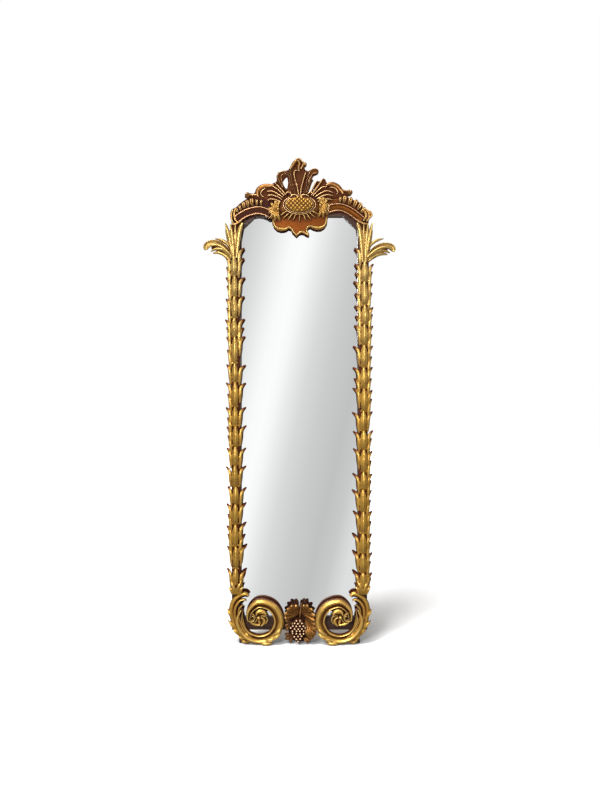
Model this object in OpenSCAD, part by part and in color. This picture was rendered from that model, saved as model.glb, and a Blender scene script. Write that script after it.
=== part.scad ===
// Carved and gilded pier mirror: palm trunk stiles, a rocaille crest and two scroll feet.
// X runs to the right, Y to the back and Z up, and the front faces -Y.
// The origin is on the floor, in the middle of the width and of the depth.

/* [Mirror plate] */
// Width of the silvered glass plate
glass_w = 460; // [400:1:540]
// Height of the silvered glass plate
glass_h = 1535; // [1300:5:1700]
// Thickness of the glass plate
glass_t = 5; // [4:0.5:6]
// Thickness of the panel that closes the back
backboard_t = 6; // [4:0.5:8]
// Room between the edge of the glass and the wood
edge_gap = 3; // [2:0.5:5]
// Thickness of the glue blocks behind the glass
block_t = 11; // [9:0.5:14]
// Length of one glue block
block_len = 46; // [30:1:80]

/* [Frame] */
// Thickness of the wood in front of the glass
lip_d = 12; // [10:0.5:18]
// How far the frame laps over each edge of the glass
rebate_w = 10; // [8:0.5:14]
// Width of the ledge that the backboard is screwed to
ledge_w = 8; // [6:0.5:10]
// Width of each stile
stile_w = 36; // [34:1:44]
// Height of the bottom rail
rail_h = 48; // [42:1:60]
// Clear height under the bottom rail
foot_h = 50; // [40:1:70]
// Width of each rear foot
foot_w = 36; // [28:1:50]
// Diameter of the frame dowels
dowel_d = 8; // [6:0.5:9]
// Length of the frame dowels
dowel_len = 50; // [30:1:60]
// Reach of the sloping top corners over the glass, along the rail
corner_run = 54; // [30:1:80]
// Drop of the sloping top corners, down the stile
corner_drop = 52; // [30:1:80]
// Thickness of the crest board and of the upper part of the top rail
board_d = 18; // [16:0.5:22]
// Width of the batten behind the crest
batten_w = 28; // [22:1:40]

/* [Palm trunks] */
// Depth of the carving in front of the frame
carve_d = 44; // [40:1:60]
// Distance from one tier of leaves to the next
tier_pitch = 74; // [60:1:90]
// Width of the trunk between the leaves
trunk_w = 36; // [30:1:40]
// Reach of the side leaves from the middle of the trunk
spike_reach = 36; // [28:1:44]
// Height of the carving over the trunk
leaf_rise = 9; // [6:0.5:11]
// Outward lean of each trunk, from foot to head
trunk_lean = 8; // [0:1:14]
// Height of the ribbed leaf at the head of a trunk
head_h = 126; // [100:1:150]

/* [Palm fronds] */
// Reach of a frond beyond the trunk
frond_reach = 102; // [80:1:120]
// Height of the root of the frond below the collar
frond_drop = 140; // [125:1:160]

/* [Crest] */
// Height of the middle of the cabochon over the top of the glass
crest_rise = 29; // [15:1:45]
// Width of the cabochon with its border
cabochon_w = 124; // [100:1:130]
// Height of the cabochon with its border
cabochon_h = 72; // [56:1:76]
// Thickness of the carved slabs of the crest
slab_d = 20; // [17:1:24]
// Thickness of the cartouche under the cabochon
cartouche_d = 26; // [24:1:30]
// Thickness of its smooth apron
apron_d = 9; // [7:0.5:12]
// Depth of the scroll moulding
scroll_d = 36; // [32:1:40]
// Width of the rim along the apron
rim_w = 8; // [5:0.5:11]
// Width of each arm
arm_w = 28; // [22:1:34]

/* [Scroll feet] */
// Distance of the eye of each scroll from the middle
scroll_x = 151; // [140:1:165]
// Outer radius of the scroll at the floor
scroll_r = 88; // [80:1:96]
// Width of the moulding at its widest
scroll_w = 38; // [30:1:42]
// Width of one rib of the leaf around the scroll
wrap_rib_w = 9; // [7:0.5:11]
// Radius of the rosette in the scroll
rosette_r = 28; // [22:1:32]

/* [Grapes] */
// Diameter of one grape
grape_d = 13; // [11:0.5:15]
// Height of the bunch
bunch_h = 88; // [76:1:96]
// Width of the bunch
bunch_w = 62; // [52:1:70]

/* [Hangers] */
// Distance of each hanger from the middle
hanger_x = 120; // [90:1:150]
// Width of the hanger strap
strap_w = 14; // [12:0.5:16]
// Thickness of the hanger strap
strap_t = 1.6; // [1.2:0.1:2]
// Length of the strap below the ring
strap_len = 45; // [42:1:48]
// Diameter of the ring wire
wire_d = 4; // [3:0.25:4.5]
// Inner width of the ring
ring_in_w = 22; // [20:0.5:28]
// Drop of the ring from its pivot to its lowest point
ring_drop = 25; // [22:0.5:27]

/* [Screws] */
// Shank diameter of the screws
screw_d = 3.5; // [3:0.25:4]
// Head diameter of the screws
head_d = 7; // [6:0.25:7.5]
// Head height of the screws
head_t = 2.2; // [1.8:0.1:2.6]

/* [Fits] */
// Gap between neighbouring carved pieces
fit = 0.3; // [0.2:0.05:0.5]
// Radial room round screws and dowels
hole_room = 0.15; // [0.1:0.05:0.3]
// Radial room round the wire of each ring at its pivot
pivot_room = 0.1; // [0.05:0.01:0.1]

/* [Hidden] */
$fn = 48;

GOLD = "goldenrod";
BRONZE = "peru";
WOOD = "saddlebrown";
STEEL = "silver";

// Depth, from the wall plane to the deepest carving
frame_d = lip_d + glass_t + block_t + backboard_t;
back_y = (frame_d + carve_d) / 2;
face_y = back_y - frame_d;
glass_y = face_y + lip_d;
board_back_y = face_y + board_d;
front_y = -back_y;
// Depth of a palm trunk between its leaves
trunk_d = carve_d - leaf_rise - 2;

// Height, from the floor up
rail_top_z = foot_h + rail_h;
glass_z0 = rail_top_z - rebate_w;
glass_z1 = glass_z0 + glass_h;
sight_top_z = glass_z1 - rebate_w;
frame_top_z = glass_z1 + edge_gap + ledge_w + 6;
crest_z = glass_z1 + crest_rise;
collar_z = crest_z - 75;
trunk_z0 = 190;
head_z0 = collar_z - head_h;

// Width, from the middle out
sight_x = glass_w / 2 - rebate_w;
stile_x = sight_x + stile_w / 2;
pocket_x = glass_w / 2 + edge_gap;
ledge_x = pocket_x + ledge_w;
trunk_top_x = stile_x + trunk_lean;
arm_in_x = 112;
arm_run = 134;
arm_stretch = (trunk_top_x - arm_in_x) / arm_run;
scroll_z = scroll_r - 1.5;
hanger_z = crest_z + 38;
ring_r = ring_in_w / 2 + wire_d / 2;
pivot_y = board_back_y + strap_t + wire_d / 2 + fit;
// Reach of the cutting blocks, past the widest carving
far = 400;

function lerp(a, b, t) = a + (b - a) * t;
function unit(v) = v / norm(v);
// Distance of the trunk axis from the middle at height z
function trunk_x(z) = stile_x + trunk_lean * (z - trunk_z0) / (collar_z - trunk_z0);
// Place on the crest, from the middle of the cabochon: x across, dz up, d forward of the frame
function crest_at(x, dz, d, w, h) = [x, face_y - d, crest_z + dz, w, h];
// Place along an arm: the drawn distance from the middle grows with the frame
function arm_x(x) = arm_in_x + (x - arm_in_x) * arm_stretch;

// ---- carving: one skin through rings that follow a line ----

// Row of control values at place u, from 0 to 1, on a smooth line through all the rows
function smooth_at(rows, u) =
  let (last = len(rows) - 1, s = min(floor(u * last), last - 1), t = u * last - s,
    p0 = rows[max(s - 1, 0)], p1 = rows[s], p2 = rows[s + 1], p3 = rows[min(s + 2, last)])
  0.5 * (2 * p1 + (p2 - p0) * t + (2 * p0 - 5 * p1 + 4 * p2 - p3) * t * t
    + (3 * p1 - p0 - 3 * p2 + p3) * t * t * t);
function smooth(rows, steps) = [for (i = [0 : steps]) smooth_at(rows, i / steps)];
function xyz(row) = [row[0], row[1], row[2]];
function rib(w, h) = [[-w / 2, -h / 4], [-0.38 * w, 0.6 * h], [0, h], [0.38 * w, 0.6 * h], [w / 2, -h / 4]];
// Two raised fillets with a sunk channel between them
function moulding(w, h) = let (e = w / 2, n = w * 0.27, foot = w * 0.19)
  [[-e, 0], [-e, h - 5], [3 - e, h], [-n, h - 2], [-foot, h - 8],
    [foot, h - 8], [n, h - 2], [e - 3, h], [e, h - 5], [e, 0]];
// Points of one ring, across the line and facing the front
function ring(rows, i, section) =
  let (a = xyz(rows[max(i - 1, 0)]), b = xyz(rows[min(i + 1, len(rows) - 1)]),
    along = unit(b - a), side = unit(cross(along, [0, -1, 0])), up = cross(side, along))
  [for (p = section(rows[i][3], rows[i][4])) xyz(rows[i]) + side * p[0] + up * p[1]];

// Smallest convex solid round some points
module cloud(points) {
  hull() polyhedron(points, [[for (i = [0 : len(points) - 1]) i]]);
}

// One closed skin through a row of rings that all have the same number of points
module loft(rings) {
  sides = len(rings[0]);
  last = len(rings) - 1;
  faces = concat([[for (k = [0 : sides - 1]) k]], [[for (k = [sides - 1 : -1 : 0]) last * sides + k]],
    [for (j = [0 : last - 1], k = [0 : sides - 1]) let (n = (k + 1) % sides)
      [j * sides + k, (j + 1) * sides + k, (j + 1) * sides + n]],
    [for (j = [0 : last - 1], k = [0 : sides - 1]) let (n = (k + 1) % sides)
      [j * sides + k, (j + 1) * sides + n, j * sides + n]]);
  polyhedron([for (r = rings) each r], faces, convexity = 6);
}

// The section drawn at each row in turn
module sweep(rows, section) {
  loft([for (i = [0 : len(rows) - 1]) ring(rows, i, section)]);
}

// Leaf rib with a rounded back, along a smooth line through the rows
module blade(rows, steps = 4) {
  sweep(smooth(rows, steps), function(w, h) rib(w, h));
}

module both_sides(side) {
  mirror([side < 0 ? 1 : 0, 0, 0]) children();
}

// A slab of the crest, drawn on the front and standing off the frame by d
module crest_slab(points, d, from = 0) {
  translate([0, face_y - from, crest_z]) rotate([90, 0, 0]) linear_extrude(d) polygon(points);
}

// The part of the crest between two directions seen from the cabochon
module crest_sector(a0, a1) {
  translate([0, face_y + 1, crest_z]) rotate([90, 0, 0]) linear_extrude(carve_d + 2)
    offset(delta = -fit / 2) polygon(concat([[0, 0]], [for (i = [0 : 4]) let (a = lerp(a0, a1, i / 4))
      far * [cos(a), sin(a)]]));
}

// ---- frame ----

module box(x0, x1, y0, y1, z0, z1) {
  translate([x0, y0, z0]) cube([x1 - x0, y1 - y0, z1 - z0]);
}

// Pocket for the glass and its blocks, with a wider one behind for the backboard
module back_pocket() {
  box(-pocket_x, pocket_x, glass_y, back_y + 1, glass_z0 - edge_gap, glass_z1 + edge_gap);
  box(-ledge_x, ledge_x, back_y - backboard_t, back_y + 1, glass_z0 - edge_gap - ledge_w,
    glass_z1 + edge_gap + ledge_w);
}

module mirror_glass() {
  color("lightblue") box(-glass_w / 2, glass_w / 2, glass_y, glass_y + glass_t, glass_z0, glass_z1);
}

module countersunk(x, y, z, turn, len, room = 0) {
  translate([x, y, z]) rotate(turn) {
    cylinder(d = screw_d + 2 * room, h = len);
    cylinder(d1 = head_d + 2 * room, d2 = screw_d + 2 * room, h = head_t);
  }
}

// Screw places round the backboard: up the stiles and along the rails
function backboard_screw_places() =
  let (out = edge_gap + ledge_w / 2, x = glass_w / 2 + out, z0 = glass_z0 - out, z1 = glass_z1 + out)
  concat([for (s = [-1, 1], i = [1 : 5]) [s * x, lerp(z0, z1, i / 6)]],
    [for (s = [-1, 1], z = [z0, z1]) [s * glass_w / 4, z]]);

module each_backboard_screw(room) {
  for (p = backboard_screw_places()) countersunk(p[0], back_y, p[1], [90, 0, 0], 16, room);
}

module backboard() {
  color("burlywood") difference() {
    box(fit - ledge_x, ledge_x - fit, back_y - backboard_t, back_y, glass_z0 - edge_gap - ledge_w + fit,
      glass_z1 + edge_gap + ledge_w - fit);
    each_backboard_screw(hole_room);
  }
}

module backboard_screws() {
  color(STEEL) each_backboard_screw(0);
}

function dowel_places() = [[foot_h + rail_h * 0.3], [foot_h + rail_h * 0.7],
  [sight_top_z - corner_drop / 4], [frame_top_z - 16]];

module each_dowel(room) {
  for (s = [-1, 1], p = dowel_places())
    translate([s * sight_x - dowel_len / 2 - room, face_y + lip_d / 2, p[0]]) rotate([0, 90, 0])
      cylinder(d = dowel_d + 2 * room, h = dowel_len + 2 * room);
}

module frame_dowels() {
  color("tan") each_dowel(0);
}

module stile(side) {
  color(WOOD) difference() {
    box(side > 0 ? sight_x : -sight_x - stile_w, side > 0 ? sight_x + stile_w : -sight_x, face_y, back_y,
      foot_h, frame_top_z);
    back_pocket();
    each_dowel(hole_room);
    each_backboard_screw(hole_room);
    each_foot_screw(hole_room);
  }
}

module bottom_rail() {
  color(WOOD) difference() {
    box(-sight_x, sight_x, face_y, back_y, foot_h, rail_top_z);
    back_pocket();
    each_dowel(hole_room);
    each_backboard_screw(hole_room);
    each_foot_screw(hole_room);
  }
}

module top_rail() {
  half = [[sight_x, sight_top_z - corner_drop], [sight_x, frame_top_z + 8], [sight_x - 20, crest_z + 12],
    [sight_x - 70, crest_z + 38], [sight_x - 120, crest_z + 48]];
  inner = [[sight_x - corner_run, sight_top_z]];
  mirrored = [for (i = [len(half) - 1 : -1 : 0]) [-half[i][0], half[i][1]]];
  outline = concat(inner, half, mirrored, [[-inner[0][0], inner[0][1]]]);
  color(WOOD) difference() {
    union() {
      translate([0, board_back_y, 0]) rotate([90, 0, 0]) linear_extrude(board_d) polygon(outline);
      translate([0, back_y, 0]) rotate([90, 0, 0]) linear_extrude(frame_d)
        polygon([for (p = outline) [p[0], min(p[1], frame_top_z)]]);
    }
    back_pocket();
    each_dowel(hole_room);
    each_backboard_screw(hole_room);
    each_batten_screw(hole_room);
    each_hanger_screw(hole_room);
  }
}

plume_foot_z = crest_z + 48;
plume_top_z = crest_z + 124;

module crest_board() {
  color(WOOD) difference() {
    translate([0, board_back_y, 0]) rotate([90, 0, 0]) linear_extrude(board_d)
      polygon([[-36, plume_foot_z], [36, plume_foot_z], [24, plume_top_z], [-24, plume_top_z]]);
    each_batten_screw(hole_room);
  }
}

function batten_screw_places() = [crest_z + 12, crest_z + 32, plume_foot_z + 16, plume_top_z - 18];

module each_batten_screw(room) {
  for (z = batten_screw_places()) countersunk(0, back_y, z, [90, 0, 0], 32, room);
}

module batten_screws() {
  color(STEEL) each_batten_screw(0);
}

module crest_batten() {
  color(WOOD) difference() {
    box(-batten_w / 2, batten_w / 2, board_back_y, back_y, frame_top_z, plume_top_z - 4);
    each_batten_screw(hole_room);
  }
}

module glass_blocks() {
  behind = glass_y + glass_t;
  lap = 6;
  width = lap + edge_gap;
  color("wheat") {
    for (s = [-1, 1], i = [0.5 : 1 : 4.5]) {
      z = lerp(glass_z0, glass_z1, i / 5) - block_len / 2;
      translate([s > 0 ? pocket_x - width : -pocket_x, behind, z]) cube([width, block_t, block_len]);
    }
    for (s = [-1, 1]) {
      x = s * glass_w / 4 - block_len / 2;
      translate([x, behind, glass_z1 - lap]) cube([block_len, block_t, width]);
    }
  }
}

module setting_blocks() {
  color("wheat") for (s = [-1, 1]) {
    x = s * glass_w / 4 - block_len / 2;
    translate([x, glass_y, glass_z0 - edge_gap]) cube([block_len, glass_t, edge_gap]);
  }
}

// The rear feet stand under the ends of the rail, behind the scrolls
foot_x = sight_x - foot_w + 8;

module each_foot_screw(room) {
  for (s = [-1, 1], y = [face_y + lip_d + 3, back_y - 8])
    countersunk(s * (foot_x + foot_w / 2 - 6), y, 0, [0, 0, 0], foot_h + 20, room);
}

module foot_screws() {
  color(STEEL) each_foot_screw(0);
}

module rear_foot(side) {
  color(WOOD) difference() {
    both_sides(side) box(foot_x, foot_x + foot_w, face_y, back_y, 0, foot_h);
    each_foot_screw(hole_room);
  }
}

// ---- palm trunks ----

tiers = floor((head_z0 - trunk_z0) / tier_pitch);
foot_tier_h = (head_z0 - trunk_z0) - tiers * tier_pitch;

// Relief of one tier: its height in the tier, then how far the carving stands off the trunk,
// from the middle of the front to the back. The front leaf has a groove, and a spike flares at the side.
tier_relief = [
  [0.03, [0.45, 0.70, 0.00, 0.00, 0.10, 0.00]],
  [0.42, [0.55, 0.85, 0.55, 0.00, 0.45, 0.10]],
  [0.70, [0.65, 0.95, 0.40, -0.10, 0.95, 0.00]],
  [0.86, [0.80, 0.85, 0.00, -0.10, 1.90, 0.00]]];
relief_unit = spike_reach - trunk_w / 2;
front_columns = len(tier_relief[0][1]) - 1;

// Place on the trunk at height z: column c counts from the front, and the carving stands off by rise
function trunk_point(z, c, rise) =
  let (a = 270 + 90 * c / front_columns, off = rise * (rise > 1 ? relief_unit / 1.9 : leaf_rise))
  [trunk_x(z) + (trunk_w / 2 + off) * cos(a), face_y + (trunk_d + off) * sin(a), z];
// Ring of one tier, whose side leaves rise no higher than side_rise
function tier_ring(z0, h, row, side_rise) = [for (c = [-front_columns : front_columns])
  let (rise = row[1][abs(c)]) trunk_point(z0 + h * row[0], c, abs(c) > 2 ? min(rise, side_rise) : rise)];

module trunk_shaft() {
  // Each tier: its foot, its height, and how high its side leaves may rise
  heights = [for (i = [0 : tiers]) [trunk_z0 + (i == 0 ? 0 : foot_tier_h + (i - 1) * tier_pitch),
    i == 0 ? foot_tier_h : tier_pitch, i == tiers ? 0 : 2]];
  loft(concat([for (t = heights, row = tier_relief) tier_ring(t[0], t[1], row, t[2])],
    [tier_ring(head_z0, 1, [0.5, [0.3, 0.3, 0, 0, 0, 0]], 0)]));
}

// Half-round outline of the trunk, flat at the back
function trunk_ring(x, z, w, d) =
  [for (a = [180 : 30 : 360]) [x + w / 2 * cos(a), face_y + d * sin(a), z]];

// Ribbed leaf at the head: each rib gives its foot, middle and tip across, and the height of its tip
head_ribs = [[-8, -17, -31, 0.86], [-4, -10, -22, 1], [-1, -3, -8, 1], [2, 4, 5, 1], [6, 13, 20, 0.98],
  [5, 20, 34, 1.04], [8, 24, 32, 0.82]];

module trunk_head() {
  core_d = carve_d - 18;
  x0 = trunk_x(head_z0);
  x1 = trunk_x(collar_z);
  top_z = collar_z - fit;
  cloud(concat(trunk_ring(x0, head_z0 - 4, trunk_w - 1, core_d),
    trunk_ring(x1, top_z, trunk_w + 8, core_d - 12)));
  for (r = head_ribs) {
    foot_z = head_z0 - 6;
    y = face_y - core_d + 2;
    tip_z = lerp(foot_z, top_z, r[3]);
    blade([[x0 + r[0], y, foot_z, 7, 8], [x0 + (r[0] + r[1]) / 2, y - 3, lerp(foot_z, tip_z, 0.35), 9, 9],
      [x0 + r[1], y - 1, lerp(foot_z, tip_z, 0.7), 9, 10], [x1 + r[2], y - 2, tip_z, 5, 8]], 3);
  }
}

module palm_trunk(side) {
  color(GOLD) both_sides(side) union() {
    trunk_shaft();
    trunk_head();
  }
}

// Palm frond: each leaflet gives its places as shares of the reach and drops in millimetres
frond_leaflets = [
  [[0.00, 8, 12, 8], [0.22, 46, 14, 9], [0.50, 63, 15, 9], [0.80, 58, 14, 8], [0.98, 42, 11, 7],
    [0.93, 30, 5, 4]],
  [[0.00, 20, 9, 6], [0.15, 50, 9, 6], [0.32, 70, 9, 5], [0.54, 79, 4, 3]],
  [[0.02, 2, 9, 8], [0.24, 33, 10, 8], [0.48, 48, 11, 7], [0.70, 44, 8, 5], [0.76, 37, 4, 3]],
  [[0.04, -6, 9, 8], [0.20, 18, 11, 8], [0.40, 30, 12, 7], [0.62, 27, 5, 4]],
  [[0.00, -10, 9, 7], [0.14, 4, 10, 7], [0.34, 16, 11, 6], [0.55, 16, 5, 4]]];

module palm_frond(side) {
  root_z = collar_z - frond_drop;
  root_x = trunk_x(root_z) + trunk_w / 2 - 3;
  color(GOLD) both_sides(side) difference() {
    union() for (k = [0 : len(frond_leaflets) - 1])
      blade([for (p = frond_leaflets[k]) [root_x + frond_reach * p[0], face_y - 14 - 3 * (k % 2) - 14 * p[0],
        root_z + p[1], p[2], p[3]]], 4);
    translate([0, 0, root_z - frond_reach]) linear_extrude(2 * frond_reach)
      polygon([for (p = trunk_ring(trunk_x(root_z + 30), 0, trunk_w + 3 * fit, trunk_d + fit)) [p[0], p[1]]]);
  }
}

// ---- scroll feet ----

// Turn of the scroll moulding: direction from the eye, radius of its middle and width, as shares
scroll_turn = [[15, 0.48, 0.36], [50, 0.57, 0.62], [90, 0.71, 0.79], [135, 0.77, 0.87], [180, 0.82, 0.97],
  [225, 0.79, 1.0], [270, 1, 0.95], [315, 0.80, 0.89], [360, 0.87, 0.74], [395, 0.9, 0.34]];
function scroll_row(s) =
  let (w = scroll_w * s[2], r = s[0] == 270 ? scroll_r - w / 2 : scroll_r * s[1])
  [s[0], r, w];
function scroll_rows(steps) = let (rows = [for (s = scroll_turn) scroll_row(s)])
  [for (i = [0 : steps]) smooth_at(rows, i / steps)];
function on_scroll(angle, r, y, w, h) = [scroll_x + r * cos(angle), y, scroll_z + r * sin(angle), w, h];

scroll_steps = 20;

// Small curl at the inner end of the moulding, round the eye of the volute
volute_eye = [31, 10];
volute_r = 10;
function volute_rows() = [for (a = [90 : 45 : 315]) let (u = (a - 90) / 270)
  [scroll_x + volute_eye[0] + volute_r * cos(a), face_y, scroll_z + volute_eye[1] + volute_r * sin(a),
    scroll_w * lerp(0.12, 0.3, u), scroll_d - 6]];

function turn_rows() =
  [for (s = scroll_rows(scroll_steps)) on_scroll(s[0], s[1], face_y, s[2], scroll_d)];
// Rings of the moulding, cut level with the floor
function scroll_rings() = let (rows = concat(volute_rows(), turn_rows()))
  [for (i = [0 : len(rows) - 1]) [for (p = ring(rows, i, function(w, h) moulding(w, h)))
    [p[0], p[1], max(p[2], 0)]]];

module scroll(side) {
  color(GOLD) both_sides(side) loft(scroll_rings());
}

// All the space inside the outer edge of the scroll
module scroll_block() {
  outer = [for (r = scroll_rings()) let (p = r[len(r) - 1]) [p[0], p[2]]];
  eye = [scroll_x, scroll_z];
  translate([0, face_y + 1, 0]) rotate([90, 0, 0]) linear_extrude(carve_d + 2) offset(delta = fit)
    polygon([for (p = outer) if (norm(p - eye) > 0.7 * scroll_r) p]);
}

module scroll_leaf(side) {
  steps = 8;
  turns = [for (s = scroll_rows(120)) if (s[0] >= 262 && s[0] <= 392) s];
  color(GOLD) both_sides(side) difference() {
    union() {
      for (k = [0 : 2]) {
        count = len(turns) - 1;
        depth = scroll_d * (0.8 - 0.18 * k);
        rows = [for (i = [0 : steps]) let (s = turns[round(count * i / steps)], u = i / steps,
            grow = sin(min(u * 2.2, 1) * 90), w = wrap_rib_w * (0.35 + 0.65 * grow))
          on_scroll(s[0], s[1] + s[2] / 2 - 1 + w * (k + 0.5), face_y, w * 1.05, depth)];
        sweep(rows, function(w, h) [[-w / 2, 0], [-w / 2, h - 5], [0, h], [w / 2, h - 5], [w / 2, 0]]);
      }
      for (a = [288, 318, 342]) let (r = scroll_r + 2) blade([on_scroll(a, r, face_y - 8, 16, 12),
        on_scroll(a + 6, r + 12, face_y - 10, 13, 10), on_scroll(a + 8, r + 27, face_y - 12, 3, 3)], 2);
      blade([on_scroll(20, scroll_r + 12, face_y - 12, 26, 14), [stile_x + 6, face_y - 14, 160, 26, 16],
        [stile_x - 12, face_y - 17, 182, 20, 15], [stile_x - 36, face_y - 20, 180, 12, 12],
        [stile_x - 46, face_y - 22, 172, 6, 8]], 5);
    }
    scroll_block();
    box(0, far, front_y, face_y + 1, -40, 0);
    box(0, far, front_y, face_y + 1, trunk_z0 - fit, trunk_z0 + 40);
  }
}

module rosette(side) {
  eye = [scroll_x + 1, face_y, scroll_z + 12];
  top_d = scroll_d - 16;
  pearl_d = 13;
  petal_r = rosette_r * 0.62;
  color(GOLD) both_sides(side) union() {
    translate(eye) rotate([90, 0, 0])
      cylinder(r1 = rosette_r * 0.56, r2 = rosette_r * 0.48, h = top_d - 8, $fn = 14);
    translate([eye[0], face_y - top_d + 4, eye[2]]) hull() sphere(d = pearl_d, $fn = 12);
    for (a = [100, 172, 244]) {
      rows = [for (i = [0 : 4])
        let (u = i / 4, turn = a + lerp(-40, 150, u), r = rosette_r * lerp(0.42, 0.2, u))
        [eye[0] + petal_r * cos(a) + r * cos(turn), face_y - top_d + 10,
          eye[2] + petal_r * sin(a) + r * sin(turn), lerp(10, 5, u), 9]];
      sweep(rows, function(w, h) rib(w, h));
    }
  }
}

// ---- grapes and vine leaves ----

grapes_in_rows = [3, 4, 5, 4, 3, 2, 1];

// Corners of a solid with twenty equal faces, for one grape
function grape_corners(r) = let (long = (1 + sqrt(5)) / 2, k = r / norm([1, long]))
  [for (a = [-1, 1], b = [-long, long], p = [[0, a, b], [a, b, 0], [b, 0, a]]) k * p];

// Swell of the bunch at the middle and towards its sides and foot
function bunch_dome(x, u) = 16 * (1 - pow(2 * x / bunch_w, 2)) * (1 - 0.6 * u);
bunch_top_z = 98;
// Place in the bunch: x from its leaning middle line, u from the top row to the last, d forward
function in_bunch(x, u, d) = [x - 4 - 3 * u, face_y - 10 - fit - d,
  lerp(bunch_top_z - grape_d / 2, bunch_top_z - bunch_h + grape_d / 2, u)];

module grape_bunch() {
  rows = len(grapes_in_rows);
  color("saddlebrown") union() {
    cloud([for (u = [0, 0.5, 1], a = [0 : 60 : 300], d = [0, 1])
      let (w = [bunch_w - 24, bunch_w - 16, 10][u * 2], x = w / 2 * cos(a))
      in_bunch(x, u, d * (4 + bunch_dome(x, u))) + [0, 0, 4 * sin(a)]]);
    for (r = [0 : rows - 1], i = [0 : grapes_in_rows[r] - 1]) {
      u = r / (rows - 1);
      x = (i - (grapes_in_rows[r] - 1) / 2) * (bunch_w - grape_d) / 4;
      translate(in_bunch(x, u, 4 + bunch_dome(x, u))) cloud(grape_corners(grape_d / 2));
    }
  }
}

// Leaf with five pointed lobes round its stalk, raised along the middle of each lobe
module vine_leaf(x, z, turn, size) {
  function edge(a) = size * (0.62 + 0.38 * pow(abs(cos(a * 2.5)), 1.5)) * (1 - 0.25 * abs(a) / 180);
  function outline(share, d, dip) = [for (a = [180 : -36 : -144])
    let (r = share * edge(a), notch = abs(sin(a * 2.5)))
    [x + r * sin(turn + a), face_y - d + dip * notch, z + r * cos(turn + a)]];
  loft([outline(1, 0, 0), outline(1, 4, 0), outline(0.62, 8, 2), outline(0.1, 7, 0)]);
}

module vine_leaves() {
  color("peru") union() {
    vine_leaf(-32, 122, -20, 32);
    vine_leaf(36, 118, 25, 33);
    vine_leaf(40, 50, 150, 29);
    vine_leaf(-42, 38, 200, 26);
    // ground that carries the leaves
    cloud([for (p = [[-24, 14], [24, 14], [40, 60], [34, 120], [-30, 124], [-44, 50]], d = [0, 5])
      [p[0], face_y - d, p[1]]]);
    blade([[4, face_y - 4, 96, 9, 6], [2, face_y - 7, 122, 8, 7], [7, face_y - 6, 154, 7, 5]], 8);
  }
}

// ---- crest ----

cartouche_outline = [[-104, -45], [-103, -66], [-97, -80], [-86, -91], [-70, -96], [-54, -94],
  [-43, -87], [-34, -88], [-29, -95], [-27, -102], [-19, -105], [-12, -117], [-3, -107], [8, -103],
  [20, -106], [33, -115], [38, -110], [35, -102], [29, -93], [33, -85], [41, -81], [52, -87], [66, -91],
  [82, -90], [96, -81], [105, -66], [107, -45], [112, -28], [108, -8], [98, 10], [70, 15], [58, 32],
  [40, 42], [-40, 42], [-58, 32], [-70, 15], [-96, 8], [-107, -8], [-112, -28]];

// Line of the raised rim along the foot of the apron
apron_rim = [[-98, -46], [-98, -64], [-92, -78], [-80, -87], [-66, -90], [-52, -87], [-42, -80],
  [-32, -83], [-22, -96], [-12, -108], [0, -101], [12, -98], [32, -108], [25, -90], [29, -80],
  [40, -75], [54, -81], [68, -85], [82, -83], [94, -74], [100, -58], [101, -44]];

module cartouche_block(grow) {
  translate([0, face_y + 1, crest_z]) rotate([90, 0, 0]) linear_extrude(carve_d) offset(delta = grow)
    polygon(cartouche_outline);
}

// Carved mass between the apron and the cabochon, as rings: reach across, reach up and depth
cartouche_swell = [[102, 50, apron_d - 1], [92, 46, lerp(apron_d, cartouche_d, 0.7)],
  [cabochon_w / 2 + 6, cabochon_h / 2 + 5, cartouche_d]];

module cartouche() {
  rim_d = 5;
  cab_x = cabochon_w / 2;
  cab_z = cabochon_h / 2;
  color(BRONZE) difference() {
    union() {
      crest_slab(cartouche_outline, apron_d);
      intersection() {
        loft([for (r = cartouche_swell) [for (a = [0 : 30 : 330])
          [r[0] * cos(a), face_y - r[2], crest_z - 6 + r[1] * sin(a)]]]);
        cartouche_block(0);
      }
      sweep([for (p = apron_rim) crest_at(p[0], p[1], apron_d - 1, rim_w, rim_d)], function(w, h) rib(w, h));
      for (a = [205 : 18.5 : 335]) blade([crest_at(cab_x * cos(a), cab_z * sin(a), cartouche_d - 3, 10, 7),
        crest_at((cab_x + 12) * cos(a), (cab_z + 14) * sin(a), cartouche_d - 9, 9, 9),
        crest_at((cab_x + 16) * cos(a), (cab_z + 26) * sin(a), apron_d, 3, 3)], 2);
      for (s = [-1, 1], a = [-36, 0, 36]) blade([crest_at(s * 64, -14, cartouche_d - 3, 14, 9),
        crest_at(s * (64 + 18 * cos(a)), -14 + 22 * sin(a), cartouche_d - 7, 18, 11),
        crest_at(s * (64 + 38 * cos(a)), -14 + 46 * sin(a), apron_d, 4, 4)], 2);
    }
    cabochon_block(fit);
  }
}

// Rings of the cabochon from its edge in: share of its size, and share of its height
cabochon_rings = [[1, 0], [1, 0.25], [0.94, 0.4], [0.87, 0.25], [0.81, 0.25], [0.75, 0.5], [0.5, 0.8],
  [0.1, 1]];
// Place on the cabochon: direction a, share of its size and depth d in front of the frame
function on_cabochon(a, share, d, grow = 0) = [(cabochon_w / 2 * share + grow) * cos(a), face_y - d,
  crest_z + (cabochon_h / 2 * share + grow) * sin(a)];

module cabochon_block(grow) {
  translate([0, face_y - cartouche_d, 0]) rotate([90, 0, 0]) linear_extrude(carve_d)
    polygon([for (a = [0 : 10 : 350]) let (p = on_cabochon(a, 1, 0, grow)) [p[0], p[2]]]);
}

module cabochon() {
  color("darkkhaki") loft([for (r = cabochon_rings) [for (a = [0 : 18 : 342])
    on_cabochon(a, r[0], lerp(cartouche_d, carve_d, r[1]))]]);
}

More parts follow.
